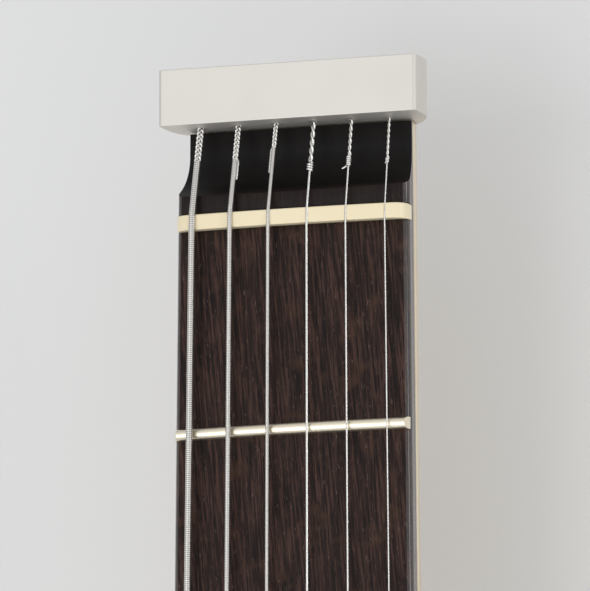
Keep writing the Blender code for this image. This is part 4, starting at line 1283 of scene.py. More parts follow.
@dataclass
class Fingerboard:
    """The rosewood board, its frets and dots, the nut's slot and the scoop behind the nut."""

    shelf: float = 5.9 * MM
    scoop_depth: float = 5.1 * MM
    scoop_radius: float = 8.6 * MM
    roll: float = 1.2 * MM
    edge: float = 0.22 * MM
    block_gap: float = 0.3 * MM
    slot_fit: float = 0.1 * MM
    fret_width: float = 2.04 * MM
    fret_height: float = 1.1 * MM
    fret_inset: float = 0.05 * MM
    fret_slant: float = 0.8 * MM
    fret_stations: int = 16
    dot_radius: float = 3.0 * MM
    single_dots: tuple[int, ...] = (3, 5, 7, 9, 15, 17, 19, 21)
    double_dot: int = 12
    double_dot_x: float = 9 * MM
    dot_proud: float = 0.03 * MM
    dot_depth: float = 1.2 * MM

    def section(self, y: float) -> list[Place]:
        """The board's outline across the neck: leaning sides, rolled edges and a crowned top.

        Args:
            y: how far along the neck it lies.

        Returns:
            The outline's corners.
        """
        half = SCALE.half_width(y)
        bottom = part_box("fingerboard")[0][2]
        outline = [(-half + SCALE.undercut, bottom), (half - SCALE.undercut, bottom)]
        outline += rolled_top(half, self.roll, 5, 8, 16)
        return [(x, y, z) for x, z in outline]

    def build(self, palette: Palette, nut: Nut) -> None:
        """Model the board, the frets and the dots.

        Args:
            palette: the guitar's finishes.
            nut: the nut that the strings leave.
        """
        start, end = SCALE.board_end, SCALE.block_face - self.block_gap
        board = extruded("fingerboard", self.section(start), (0, end - start, 0))
        far = self.section(end)
        ahead = [v for v in board.data.vertices if v.co.y > (start + end) / 2]
        near = {(round(x, 6), round(z, 6)): i for i, (x, y, z) in enumerate(self.section(start))}
        for vertex in ahead:
            index = near[(round(vertex.co.x, 6), round(vertex.co.z, 6))]
            vertex.co = far[index]
        wide, above, beyond_end, fit = SCALE.board_width, 3 * MM, 30 * MM, self.slot_fit
        low, high = -nut.seat - fit, above
        corners = ((-fit, low), (nut.thickness + fit, low), (nut.thickness + fit, high), (-fit, high))
        outline = [(-wide, SCALE.length + y, SCALE.board_top + z) for y, z in corners]
        cut(board, extruded("nut_slot", outline, (2 * wide, 0, 0)))
        rise = self.scoop_radius - self.scoop_depth
        run = math.sqrt(self.scoop_radius**2 - rise**2)
        start_turn = 180 + math.degrees(math.atan2(rise * -1, -run) + math.pi)
        curve = arc((self.shelf + run, rise), self.scoop_radius, start_turn, 270, 28)
        points = [(self.shelf, above), *curve, (beyond_end, -self.scoop_depth), (beyond_end, above)]
        outline = [(-wide, SCALE.length + y, SCALE.board_top + z) for y, z in points]
        cut(board, extruded("scoop", outline, (2 * wide, 0, 0)))
        rounded(board, self.edge, segments=2, angle=28)
        stand_in(board, palette.rosewood, "fingerboard")
        second_finish(board, palette.rosewood_side, lambda centre, normal: abs(normal.x) > 0.3)
        master = self.build_fret_wire()
        for number in range(1, SCALE.frets + 1):
            self.place_fret(master, number, palette)
        remove(master)
        self.build_dots(palette)

    def build_fret_wire(self) -> Piece:
        """Model a straight length of fret wire, one unit wide each way, its ends filed at a slant.

        Returns:
            The wire, to be copied, fitted to the board's width and bent to its crown.
        """
        reach = SCALE.half_width(SCALE.board_end)
        width, foot, power, steps = self.fret_width / 2, 0.25 * MM, 2.5, 12
        shape = [(-width, -foot)]
        for step in range(steps + 1):
            across = -math.cos(math.pi * step / steps)
            shape.append((across * width, self.fret_height * (1 - abs(across) ** power) ** (1 / power)))
        shape.append((width, -foot))
        wire = extruded("fret_wire", [(-reach, y, z) for y, z in shape], (2 * reach, 0, 0))
        with editing(wire):
            for step in range(1, self.fret_stations):
                bpy.ops.mesh.select_all(action="SELECT")
                place = reach * (1 - 2 * step / self.fret_stations)
                bpy.ops.mesh.bisect(plane_co=(place, 0, 0), plane_no=(1, 0, 0), threshold=1e-7)
            for sign in (-1, 1):
                bpy.ops.mesh.select_all(action="SELECT")
                corner, normal = (sign * reach, 0, -foot), (sign * (self.fret_height + foot), 0, self.fret_slant)
                bpy.ops.mesh.bisect(
                    plane_co=corner, plane_no=normal, clear_outer=True, use_fill=True, threshold=1e-7
                )
        return tidy(wire, smooth=50)

    def place_fret(self, master: Piece, number: int, palette: Palette) -> None:
        """Copy the fret wire, fit it to the board's width there and bend it to the crown.

        Args:
            master: the straight wire.
            number: the fret's number from the nut.
            palette: the guitar's finishes.
        """
        y = SCALE.fret(number)
        reach = SCALE.half_width(SCALE.board_end)
        share = (SCALE.half_width(y) - self.fret_inset) / reach
        fret = twin(master, f"fret_{number:02d}", Matrix.Diagonal((share, 1, 1, 1)))
        for vertex in fret.data.vertices:
            vertex.co.z += SCALE.crown_at(vertex.co.x)
            vertex.co.y += y
        dress(fret, palette.nickel)

    def build_dots(self, palette: Palette) -> None:
        """Let round dots into the board between the frets.

        Args:
            palette: the guitar's finishes.
        """
        marks = [(number, 0.0) for number in self.single_dots]
        marks += [(self.double_dot, x) for x in (-self.double_dot_x, self.double_dot_x)]
        for count, (number, x) in enumerate(marks, start=1):
            y = (SCALE.fret(number) + SCALE.fret(number - 1)) / 2
            top = SCALE.crown_at(x) + self.dot_proud
            radius, edge, foot = self.dot_radius, 0.12 * MM, -self.dot_depth
            profile = [(0, 0), (radius - edge, -edge * 0.2), (radius, -edge), (radius, foot), (0, foot)]
            dot = turned(f"inlay_dot_{count:02d}", profile, (x, y, top), Axis.Z, 40)
            dress(dot, palette.pearl)


class Lock(Enum):
    """How the end of a string is locked behind its ball."""

    BRAID = "a flat wavy braid of the core and its return"
    BRAID_TAIL_RIGHT = "a braid, with its cut end lying on the treble side"
    BRAID_TAIL_LEFT = "a short braid, with its cut end lying on the bass side"
    COIL = "a twist that ends in a tight coil"
    COIL_TAIL_LEFT = "a twist and a coil, its cut end standing out on the bass side"


@dataclass(frozen=True)
class Twist:
    """The sizes of one string's twist, from the block's face."""

    lock: Lock
    length: float
    pitch: float
    wave: float = 0.0
    strand: float = 0.0
    coil: float = 0.0
    tail: float = 0.0


@dataclass
class Strings:
    """The six strings with their twists at the head, along the CAD's route."""

    roller_y: float = -45 * MM
    roller_z: float = 38 * MM
    roller_groove: float = 6.6 * MM
    post_radius: float = 3.0 * MM
    run: float = 0.4 * MM
    fit: float = 0.3 * MM
    wrap_top: float = 31.8 * MM
    turn_gap: float = 0.5 * MM
    in_block: float = 3.2 * MM
    # Nickel-plated steel wire wound close on the core: the thicker the string, the coarser its ribs; each colour is
    # the painted shade in the grooves between them
    windings: tuple[tuple[float, str], ...] = ((0.36 * MM, "#A9A59F"), (0.28 * MM, "#B9B5AF"), (0.22 * MM, "#C4C0BA"))
    twists: tuple[Twist, ...] = (
        Twist(Lock.BRAID, 6.6 * MM, 2.5 * MM, 0.44 * MM, 0.20 * MM),
        Twist(Lock.BRAID_TAIL_RIGHT, 6.6 * MM, 2.4 * MM, 0.36 * MM, 0.17 * MM, tail=10 * MM),
        Twist(Lock.BRAID_TAIL_LEFT, 4.9 * MM, 2.3 * MM, 0.28 * MM, 0.14 * MM, tail=9.1 * MM),
        Twist(Lock.COIL, 9.2 * MM, 3.0 * MM, coil=1.5 * MM),
        Twist(Lock.COIL_TAIL_LEFT, 8.7 * MM, 2.3 * MM, coil=1.8 * MM),
        Twist(Lock.COIL, 8.5 * MM, 2.0 * MM, coil=0.95 * MM),
    )

    def at_nut(self, index: int) -> Vector:
        """Where a string leaves the nut's front edge."""
        return Vector((SCALE.string_x(index, SCALE.length), SCALE.length, SCALE.string_z(index, SCALE.length)))

    def route(self, index: int, nut: Nut) -> list[Vector]:
        """The string's axis from the end of its twist to its last turn on the post.

        Args:
            index: the string, from the bass side.
            nut: the nut that the strings leave.

        Returns:
            The axis's points.
        """
        diameter = SCALE.diameters[index]
        radius = diameter / 2
        at_nut = self.at_nut(index)
        behind = at_nut + Vector((0, nut.thickness, -self.run / 2))
        leave = SCALE.hole(index)
        share = (self.twists[index].length - 0.4 * MM) / (leave - behind).length
        points = [leave.lerp(behind, share + (1 - share) * step / 4) for step in range(4)]
        points += [behind, at_nut]
        saddle = Vector((SCALE.string_x(index, 0), 0, SCALE.string_z(index, 0)))
        steps = 40
        points += [at_nut.lerp(saddle, step / steps) for step in range(1, steps + 1)]
        reach = self.roller_groove + self.fit + radius
        x = SCALE.string_x(index, self.roller_y)
        away, rise = -self.roller_y, saddle.z - self.roller_z
        first = math.atan2(rise, away) + math.acos(reach / math.hypot(away, rise))
        last = 3 * math.pi / 2
        for step in range(25):
            turn = first + (last - first) * step / 24
            y, z = self.roller_y + reach * math.cos(turn), self.roller_z + reach * math.sin(turn)
            points.append(Vector((x, y, z)))
        side, post_x, post_y = SCALE.tuner(index)
        way = side if index in (0, 5) else -side
        reach = self.post_radius + self.run + radius
        turns = 2 if index < SCALE.wound else 3
        start = 0 if way > 0 else math.pi
        count = 28
        for step in range(turns * count + 1):
            turn = start + way * step / count * 2 * math.pi
            drop = (diameter + self.turn_gap) * step / count
            x, y = post_x + reach * math.cos(turn), post_y + reach * math.sin(turn)
            points.append(Vector((x, y, self.wrap_top - drop)))
        return points

    def build(self, palette: Palette, nut: Nut) -> None:
        """Model each string and the strands of its twist.

        Args:
            palette: the guitar's finishes.
            nut: the nut that the strings leave.
        """
        for index, number in SCALE.strings():
            node, finish, sides = f"string_{number}", palette.wire, 12
            if index < SCALE.wound:
                pitch, groove = self.windings[index]
                finish, sides = Wound(f"nickel_wound_{number}", "#DEDBD6", groove, pitch).build(), 14
            string = swept(node, self.route(index, nut), SCALE.diameters[index] / 2, sides)
            stand_in(string, finish, node)
            self.build_twist(index, number, finish, nut, palette)

    def build_twist(self, index: int, number: int, finish: Material, nut: Nut, palette: Palette) -> None:
        """Model the strands that are twisted behind the ball, the lock and the ball itself.

        Args:
            index: the string, from the bass side.
            number: its number in a player's count.
            finish: the string's own material.
            nut: the nut.
            palette: the shared materials.
        """
        twist = self.twists[index]
        radius = SCALE.diameters[index] / 2
        behind = self.at_nut(index) + Vector((0, nut.thickness, -self.run / 2))
        leave = SCALE.hole(index)
        along = (behind - leave).normalized()
        inside = leave - along * self.in_block
        right = Vector((1, 0, 0))
        right = (right - along * right.dot(along)).normalized()
        front = right.cross(along)
        if front.z < 0:
            front.negate()

        def strand(
            label: str,
            size: float,
            way: Callable[[float], Point],
            first: float,
            last: float,
            step: float,
            material: Material,
        ) -> None:
            """Model one strand.

            Args:
                label: what is added to the string's name.
                size: its radius.
                way: its offset to the right and to the front at a distance from the block.
                first: the distance at which it starts.
                last: the distance at which it ends.
                step: the length of its pieces.
                material: its finish.
            """
            count = max(8, int((last - first) / step))
            points = []
            for here in range(count + 1):
                distance = first + (last - first) * here / count
                aside, ahead = way(distance)
                points.append(leave + along * distance + right * aside + front * ahead)
            piece = swept(f"string_{number}_{label}", points, size, 10)
            dress(piece, material)

        start = -self.in_block
        if twist.coil:
            self.build_coil(twist, radius, strand, start, finish)
        else:
            rest = twist.length
            for label, phase in (("strand_a", 0.0), ("strand_b", 1 / 3), ("strand_c", 2 / 3)):

                def way(distance: float, phase: float = phase) -> Point:
                    """A flat braid: the strands swing across and pass over and under each other.

                    Args:
                        distance: how far along it is.
                        phase: where the strand stands in the braid, from 0 to 1.

                    Returns:
                        The offsets to the right and to the front.
                    """
                    turn = 2 * math.pi * (distance / twist.pitch + phase)
                    swing = twist.wave * min(1.0, 0.35 + max(0.0, rest - distance) / MM)
                    return swing * math.sin(turn), 0.9 * twist.strand * math.sin(2 * turn)

                strand(label, twist.strand, way, start, rest, 0.14 * MM, palette.wire)
            if twist.tail:
                sign = 1 if twist.lock is Lock.BRAID_TAIL_RIGHT else -1

                def beside(distance: float) -> Point:
                    """The cut end: it leaves the braid and lies along the string."""
                    share = min(1.0, max(0.0, (distance - rest + 1.2 * MM) / (1.2 * MM)))
                    return sign * (radius + 1.02 * twist.strand) * share, 0.0

                strand("tail", twist.strand, beside, rest - 1.2 * MM, twist.tail, 0.3 * MM, palette.wire)
        self.build_ball(number, inside, palette)

    @staticmethod
    def build_coil(
        twist: Twist, radius: float, strand: Callable[..., None], start: float, finish: Material
    ) -> None:
        """Model two strands about each other, and the return's close coil round the string at the end.

        Args:
            twist: the twist's sizes.
            radius: the string's radius.
            strand: what models a strand.
            start: where the twist starts inside the block.
            finish: the string's own material.
        """
        coil_start = twist.length - twist.coil
        ease = 0.8 * MM

        def spiral(distance: float, phase: float, reach: float) -> Point:
            """A point on a spiral round the string's axis."""
            turn = 2 * math.pi * (distance / twist.pitch + phase)
            return reach * math.sin(turn), reach * math.cos(turn)

        def own(distance: float) -> Point:
            """The string itself, which straightens where the coil starts."""
            return spiral(distance, 0.0, radius * min(1.0, max(0.0, (coil_start - distance) / ease)))

        def back(distance: float) -> Point:
            """The return, which moves out to pass round the string."""
            share = min(1.0, max(0.0, 1 - (coil_start - distance) / ease))
            return spiral(distance, 0.5, radius * (1.02 + 1.03 * share))

        coil_pitch, coil_reach = 2.12 * radius, 2.05 * radius
        turns_before = coil_start / twist.pitch + 0.5

        def lock(distance: float) -> Point:
            """The close coil."""
            turn = 2 * math.pi * (turns_before + (distance - coil_start) / coil_pitch)
            return coil_reach * math.sin(turn), coil_reach * math.cos(turn)

        strand("core", radius, own, start, twist.length + 0.5 * MM, 0.1 * MM, finish)
        strand("return", radius, back, start, coil_start, 0.1 * MM, finish)
        strand("coil", radius, lock, coil_start, twist.length, coil_pitch / 20, finish)
        if twist.lock is Lock.COIL_TAIL_LEFT:

            def out(distance: float) -> Point:
                """The cut end that stands out beside the coil."""
                away = (distance - twist.length) / (0.45 * MM)
                return -coil_reach - away * 0.75 * MM, 0.4 * radius

            strand("tail", radius, out, twist.length - 0.02 * MM, twist.length + 0.45 * MM, 0.08 * MM, finish)

    def build_ball(self, number: int, place: Vector, palette: Palette) -> None:
        """Model the grooved brass ball that holds the string in the block.

        Args:
            number: the string's number in a player's count.
            place: where the string ends.
            palette: the guitar's finishes.
        """
        radius, half, waist = 1.9 * MM, 1.6 * MM, 1.3 * MM
        profile = [(0.5 * MM, half), (radius - 0.2 * MM, half), (radius, half - 0.3 * MM), (waist, 0.2 * MM)]
        profile += [(waist, -0.2 * MM), (radius, -half + 0.3 * MM), (radius - 0.2 * MM, -half), (0.5 * MM, -half)]
        centre = (place.x, place.y + half + 0.4 * MM, place.z)
        ball = turned(f"string_{number}_ball", profile, centre, Axis.X, 32)
        dress(ball, palette.brass)


# Shared small parts


def kept(node: str, material: Material) -> None:
    """Give a CAD node that stays its finish.

    Args:
        node: the CAD node.
        material: its finish.
    """
    mesh = FRAME["nodes"][node].data
    mesh.materials.clear()
    mesh.materials.append(material)


def slot_of(node: str) -> str:
    """The record's material slot of a CAD node."""
    rows = {row["node"]: row["material_slot"] for row in FRAME["record"]["subparts"]}
    return rows[node]


@dataclass
class Screw:
    """A screw with a domed or flat head, modelled once and copied to its places."""

    head: float
    height: float
    shank: float
    length: float
    drive: Drive = Drive.CROSS
    flat: bool = False

    def build(self) -> Piece:
        """Model the screw at the origin, its head's seat at height 0 and its shank below.

        Returns:
            The master screw, to be copied.
        """
        edge = 0.1 * MM
        if self.flat:
            profile = [(0, 0), (self.head - edge, 0), (self.head, -edge), (self.shank, self.shank - self.head - edge)]
        else:
            dome = [(math.sin(turn), 0.35 + 0.65 * math.cos(turn)) for turn in (0.45, 0.8, 1.1, 1.35, 1.57)]
            profile = [(0, self.height)] + [(self.head * out, self.height * up) for out, up in dome]
            profile += [(self.head, 0.1 * self.height), (self.head - edge, 0), (self.shank, 0)]
        profile += [(self.shank, self.shank - self.length), (0, -self.length)]
        master = turned("screw", profile, (0, 0, 0), Axis.Z, 28)
        top = 0.0 if self.flat else self.height
        deep = 0.55 * self.head
        if self.drive is Drive.HEXAGON:
            drill(master, 0.52 * self.head, (0, 0, top - deep), (0, 0, top + BEYOND), 6)
        else:
            half, reach = 0.13 * self.head, self.head * (0.62 if self.drive is Drive.CROSS else 1.1)
            arms = [((-reach, -half), (reach, half))]
            if self.drive is Drive.CROSS:
                arms.append(((-half, -reach), (half, reach)))
            for low, high in arms:
                cut(master, cuboid("recess", (*low, top - deep), (*high, top + BEYOND)))
        return tidy(master, smooth=35)

    @staticmethod
    def place(
        master: Piece,
        name: str,
        place: Place,
        axis: Axis,
        finish: Material,
        slot: str = "steel",
        turn: float = 0.4,
        replaces: Iterable[str] = (),
    ) -> Piece:
        """Copy the master screw to a place.

        Args:
            master: the screw at the origin.
            name: the copy's name.
            place: where its head's seat lies.
            axis: the way in which its head points.
            finish: its material.
            slot: its material slot in the record; not used.
            turn: how far its recess is turned, in radians.
            replaces: the CAD nodes that it stands for.

        Returns:
            The placed screw.
        """
        way = Axis.Z.value.rotation_difference(axis.value).to_matrix().to_4x4()
        move = Matrix.Translation(place) @ way @ Matrix.Rotation(turn, 4, "Z")
        return dress(twin(master, name, move), finish, replaces=replaces)


# Neck and body


@dataclass
class Refined:
    """A CAD piece whose shape is right: its copy gets merged faces, softened edges and its finish."""

    node: str
    finish: str
    edge: float = 0.3 * MM
    segments: int = 2
    angle: float = 40.0

    def build(self, palette: Palette) -> Piece:
        """Make the refined copy.

        Args:
            palette: where its finish is kept.

        Returns:
            The piece.
        """
        piece = copy_of(self.node, self.node + "_finished")
        if self.edge:
            rounded(piece, self.edge, self.segments, self.angle)
        else:
            tidy(piece, smooth=35)
        return stand_in(piece, getattr(palette, self.finish), self.node)


@dataclass
class NeckAndBody:
    """The through neck, the two wings and the small position dots in the board's bass side."""

    side_dot: float = 1.1 * MM
    below_top: float = 3.4 * MM
    proud: float = 0.03 * MM
    marks: tuple[int, ...] = (3, 5, 7, 9, 12, 15, 17, 19, 21)

    def build(self, palette: Palette) -> None:
        """Finish the woods and let the dots into the board's side.

        Args:
            palette: the guitar's finishes.
        """
        Refined("neck_through_beam", "maple", 0.4 * MM, angle=50).build(palette)
        Refined("bass_wing", "alder", 0.0).build(palette)
        Refined("treble_wing", "alder", 0.0).build(palette)
        kept("truss_rod", palette.steel)
        radius, edge, foot = self.side_dot, 0.1 * MM, -1.2 * MM
        profile = [(0, 0), (radius - edge, 0), (radius, -edge), (radius, foot), (0, foot)]
        master = turned("side_dot", profile, (0, 0, 0), Axis.MINUS_X, 24)
        lean = SCALE.undercut * self.below_top / SCALE.board_thickness
        for number in self.marks:
            y = (SCALE.fret(number) + SCALE.fret(number - 1)) / 2
            x = -SCALE.half_width(y) + lean - self.proud
            move = Matrix.Translation((x, y, SCALE.board_top - self.below_top))
            dress(twin(master, f"side_dot_{number:02d}", move), palette.white)
        remove(master)


# The body's fittings


@dataclass
class Bridge:
    """The crowned bar that the strings cross, a saddle under each, and the two studs with thumbwheels."""

    half_length: float = 47 * MM
    behind: float = 2 * MM
    width: float = 12 * MM
    underside: float = 46.8 * MM
    shoulder: float = 4 * MM
    end_drop: float = 2 * MM
    gap: float = 0.3 * MM
    edge: float = 1.6 * MM
    stud_x: float = 41.5 * MM
    stud_y: float = 4 * MM
    stud: float = 3 * MM
    stud_top: float = 50 * MM
    wheel: float = 5 * MM
    wheel_height: float = 1.6 * MM
    foot: float = 30 * MM
    saddle: float = 1.3 * MM
    saddle_length: float = 7.4 * MM
    screw_above: float = 2.6 * MM

    def build(self, palette: Palette) -> None:
        """Model the bar, the saddles and the studs.

        Args:
            palette: the guitar's finishes.
        """
        lift = SCALE.over_nut + SCALE.rise * SCALE.length - self.gap
        shoulder = SCALE.string_x(len(SCALE.diameters) - 1, 0) + self.shoulder
        end_top = SCALE.crown_at(shoulder) + lift - self.end_drop
        reach, low = self.half_length, self.underside
        points = [(-reach, low), (reach, low), (reach, end_top), *crowned(shoulder, 24, lift), (-reach, end_top)]
        bar = extruded("bridge_bar", [(x, -self.behind, z) for x, z in points], (0, self.width, 0))
        bevel_where(bar, self.edge, 5, lambda place: place.z > self.underside + self.gap)
        bevel_where(bar, 0.3 * MM, 2, lambda place: place.z < self.underside + HAIR)
        for side in Side:
            x = side.value * self.stud_x
            start, end = (x, self.stud_y, self.underside - BEYOND), (x, self.stud_y, self.stud_top + 5 * MM)
            drill(bar, self.stud + 0.3 * MM, start, end, 40)
        stand_in(tidy(bar, smooth=35), palette.satin, "bridge_bar")
        for side in Side:
            self.build_stud(side, palette)
        profile = chamfered(self.saddle, self.saddle_length / 2, 0.2 * MM)
        master = turned("saddle", profile, (0, 0, 0), Axis.X, 36)
        for index, number in SCALE.strings():
            z = SCALE.string_z(index, 0) - SCALE.diameters[index] / 2 - self.saddle + HAIR
            move = Matrix.Translation((SCALE.string_x(index, 0), 0, z))
            dress(twin(master, f"saddle_{number}", move), palette.chrome)
        remove(master)
        master = Screw(1.5 * MM, 0.9 * MM, 0.8 * MM, 4 * MM, Drive.HEXAGON).build()
        front = self.width - self.behind
        for index, number in SCALE.strings():
            place = (SCALE.string_x(index, 0), front, self.underside + self.screw_above)
            Screw.place(master, f"saddle_screw_{number}", place, Axis.Y, palette.steel, turn=0.3 * index)
        remove(master)

    def build_stud(self, side: Side, palette: Palette) -> None:
        """Model a stud: its slotted top, its knurled thumbwheel and its foot.

        Args:
            side: the side that it is on.
            palette: the guitar's finishes.
        """
        node = "bridge_stud_" + side.name.lower()
        top = self.underside - self.gap
        low = top - self.wheel_height
        radius, peak, edge, step = self.stud, self.stud_top, 0.4 * MM, 0.3 * MM
        profile = [(0, peak), (radius - edge, peak), (radius, peak - edge), (radius, low)]
        profile += [(radius - step, low - step), (radius - step, self.foot), (0, self.foot)]
        place = (side.value * self.stud_x, self.stud_y, 0)
        stud = turned(node, profile, place, Axis.Z, 40)
        reach, half, deep = 4 * MM, 0.4 * MM, 0.9 * MM
        low_corner = (place[0] - reach, place[1] - half, peak - deep)
        high_corner = (place[0] + reach, place[1] + half, peak + BEYOND)
        cut(stud, cuboid("slot", low_corner, high_corner))
        stand_in(tidy(stud, smooth=35), palette.steel, node)
        wheel = fluted(f"thumbwheel_{side.name.lower()}", self.wheel, 0.2 * MM, 28, low, top)
        drill(wheel, self.stud - HAIR, (0, 0, low - BEYOND), (0, 0, top + BEYOND), 40)
        wheel.location = (place[0], place[1], 0)
        settle(wheel)
        dress(tidy(wheel, smooth=35), palette.steel)


def fluted(name: str, radius: float, depth: float, flutes: int, low: float, high: float) -> Piece:
    """A disc with fine flutes round its rim, its edges softened, for knobs and thumbwheels.

    Args:
        name: the new object's name.
        radius: its outer radius.
        depth: how deep the flutes are.
        flutes: how many there are.
        low: its lower face.
        high: its upper face.

    Returns:
        A closed solid on the Z axis.
    """
    points = []
    steps = flutes * 4
    for step in range(steps):
        turn = 2 * math.pi * step / steps
        reach = radius - depth * (0.5 - 0.5 * math.cos(flutes * turn))
        points.append((reach * math.cos(turn), reach * math.sin(turn), low))
    disc = extruded(name, points, (0, 0, high - low))
    return rounded(disc, min(0.35 * MM, (high - low) / 4), segments=2, angle=60)


@dataclass
class Pickup:
    """The pickup: a rounded case with six pole screws, on a plate with an ear at each end."""

    y: float = 34 * MM
    half_length: float = 35 * MM
    half_width: float = 8.5 * MM
    bottom: float = 35.3 * MM
    top: float = 49 * MM
    ear_reach: float = 45 * MM
    ear_thickness: float = 2 * MM
    screw_x: float = 41 * MM
    pole: float = 2.3 * MM
    seat_gap: float = 0.02 * MM

    def build(self, palette: Palette) -> None:
        """Model the case, its plate, the pole screws and the two screws that hold it.

        Args:
            palette: the guitar's finishes.
        """
        corner = self.half_width * 0.62
        points = rounded_rectangle(self.half_length, self.half_width, corner)
        case = extruded("pickup", [(x, y + self.y, self.bottom) for x, y in points], (0, 0, self.top - self.bottom))
        bevel_where(case, 1.1 * MM, 5, lambda place: place.z > self.top - HAIR)
        points = rounded_rectangle(self.ear_reach, self.half_width - 0.2 * MM, 3 * MM)
        thick = self.ear_thickness
        plate = extruded("pickup_plate", [(x, y + self.y, self.bottom) for x, y in points], (0, 0, thick))
        rounded(plate, 0.3 * MM, segments=2, angle=60)
        for side in Side:
            x = side.value * self.screw_x
            start, end = (x, self.y, self.bottom - BEYOND), (x, self.y, self.bottom + thick + BEYOND)
            drill(plate, 1.7 * MM, start, end)
        cut(case, plate, join=True)
        stand_in(tidy(case, smooth=35), palette.black, "pickup")
        master = Screw(self.pole, 0.4 * MM, self.pole - 0.1 * MM, 3 * MM, Drive.SLOT).build()
        for index, number in SCALE.strings():
            place = (SCALE.string_x(index, self.y), self.y, self.top + self.seat_gap)
            turn = 0.5 + 0.7 * index
            Screw.place(master, f"pole_screw_{number}", place, Axis.Z, palette.chrome, "chrome", turn)
        remove(master)
        master = Screw(2.8 * MM, 1.6 * MM, 1.4 * MM, 11 * MM).build()
        for side in Side:
            node = "pickup_screw_" + side.name.lower()
            place = (side.value * self.screw_x, self.y, self.bottom + thick + self.seat_gap)
            Screw.place(master, node, place, Axis.Z, palette.steel, slot_of(node), replaces=[node])
        remove(master)


def rounded_rectangle(
    half_x: float, half_y: float, corner: float, steps: int = 6, last: float | None = None
) -> list[Point]:
    """The outline of a rectangle with round corners, about the origin.

    Args:
        half_x: half of its size on X.
        half_y: half of its size on Y.
        corner: the corners' radius.
        steps: how many pieces each corner's arc has.
        last: another radius for the corner at high X and low Y.

    Returns:
        The outline's points.
    """
    points: list[Point] = []
    for x, y, start in ((1, 1, 0), (-1, 1, 90), (-1, -1, 180), (1, -1, 270)):
        radius = last if last and start == 270 else corner
        centre = (x * (half_x - radius), y * (half_y - radius))
        points += arc(centre, radius, start, start + 90, steps)
    return points


@dataclass
class TailRollers:
    """The axle across the tail and its six grooved rollers, which turn under the strings."""

    y: float = -45 * MM
    z: float = 38 * MM
    half_width: float = 4.4 * MM
    rim: float = 7.8 * MM
    groove: float = 6.6 * MM
    axle: float = 2.5 * MM
    axle_half: float = 34.5 * MM
    play: float = 0.4 * MM
    holes: int = 5
    hole: float = 1.0 * MM
    holes_out: float = 4.75 * MM

    def build(self, palette: Palette) -> None:
        """Model the axle and one roller, and copy the roller to its places.

        Args:
            palette: the guitar's finishes.
        """
        profile = chamfered(self.axle, self.axle_half, 0.4 * MM)
        axle = turned("tail_axle", profile, (0, self.y, self.z), Axis.X, 40)
        stand_in(axle, palette.steel, "tail_axle")
        master = self.build_roller()
        for index, number in SCALE.strings():
            node = f"tail_roller_{number}"
            move = Matrix.Translation((SCALE.string_x(index, self.y), self.y, self.z))
            stand_in(twin(master, node, move), palette.brass_plate, node, node)
        remove(master)

    def build_roller(self) -> Piece:
        """Model a roller at the origin: a soft groove, chamfered rims and lightening holes in its sides.

        Returns:
            The master roller.
        """
        half, bore, edge = self.half_width, self.axle + self.play, 0.3 * MM
        profile = [(bore, -half), (self.rim - edge, -half), (self.rim, edge - half)]
        steps = 12
        for step in range(steps + 1):
            across = half * 0.7 * (2 * step / steps - 1)
            share = min(1.0, max(0.0, (abs(across) / half - 0.25) / 0.45))
            profile.append((self.groove + (self.rim - self.groove) * share * share * (3 - 2 * share), across))
        profile += [(self.rim, half - edge), (self.rim - edge, half), (bore, half)]
        roller = turned("roller", profile, (0, 0, 0), Axis.X, 64)
        for step in range(self.holes):
            turn = 2 * math.pi * step / self.holes
            y, z = self.holes_out * math.cos(turn), self.holes_out * math.sin(turn)
            drill(roller, self.hole, (-2 * half, y, z), (2 * half, y, z), 20)
        return tidy(roller, smooth=35)


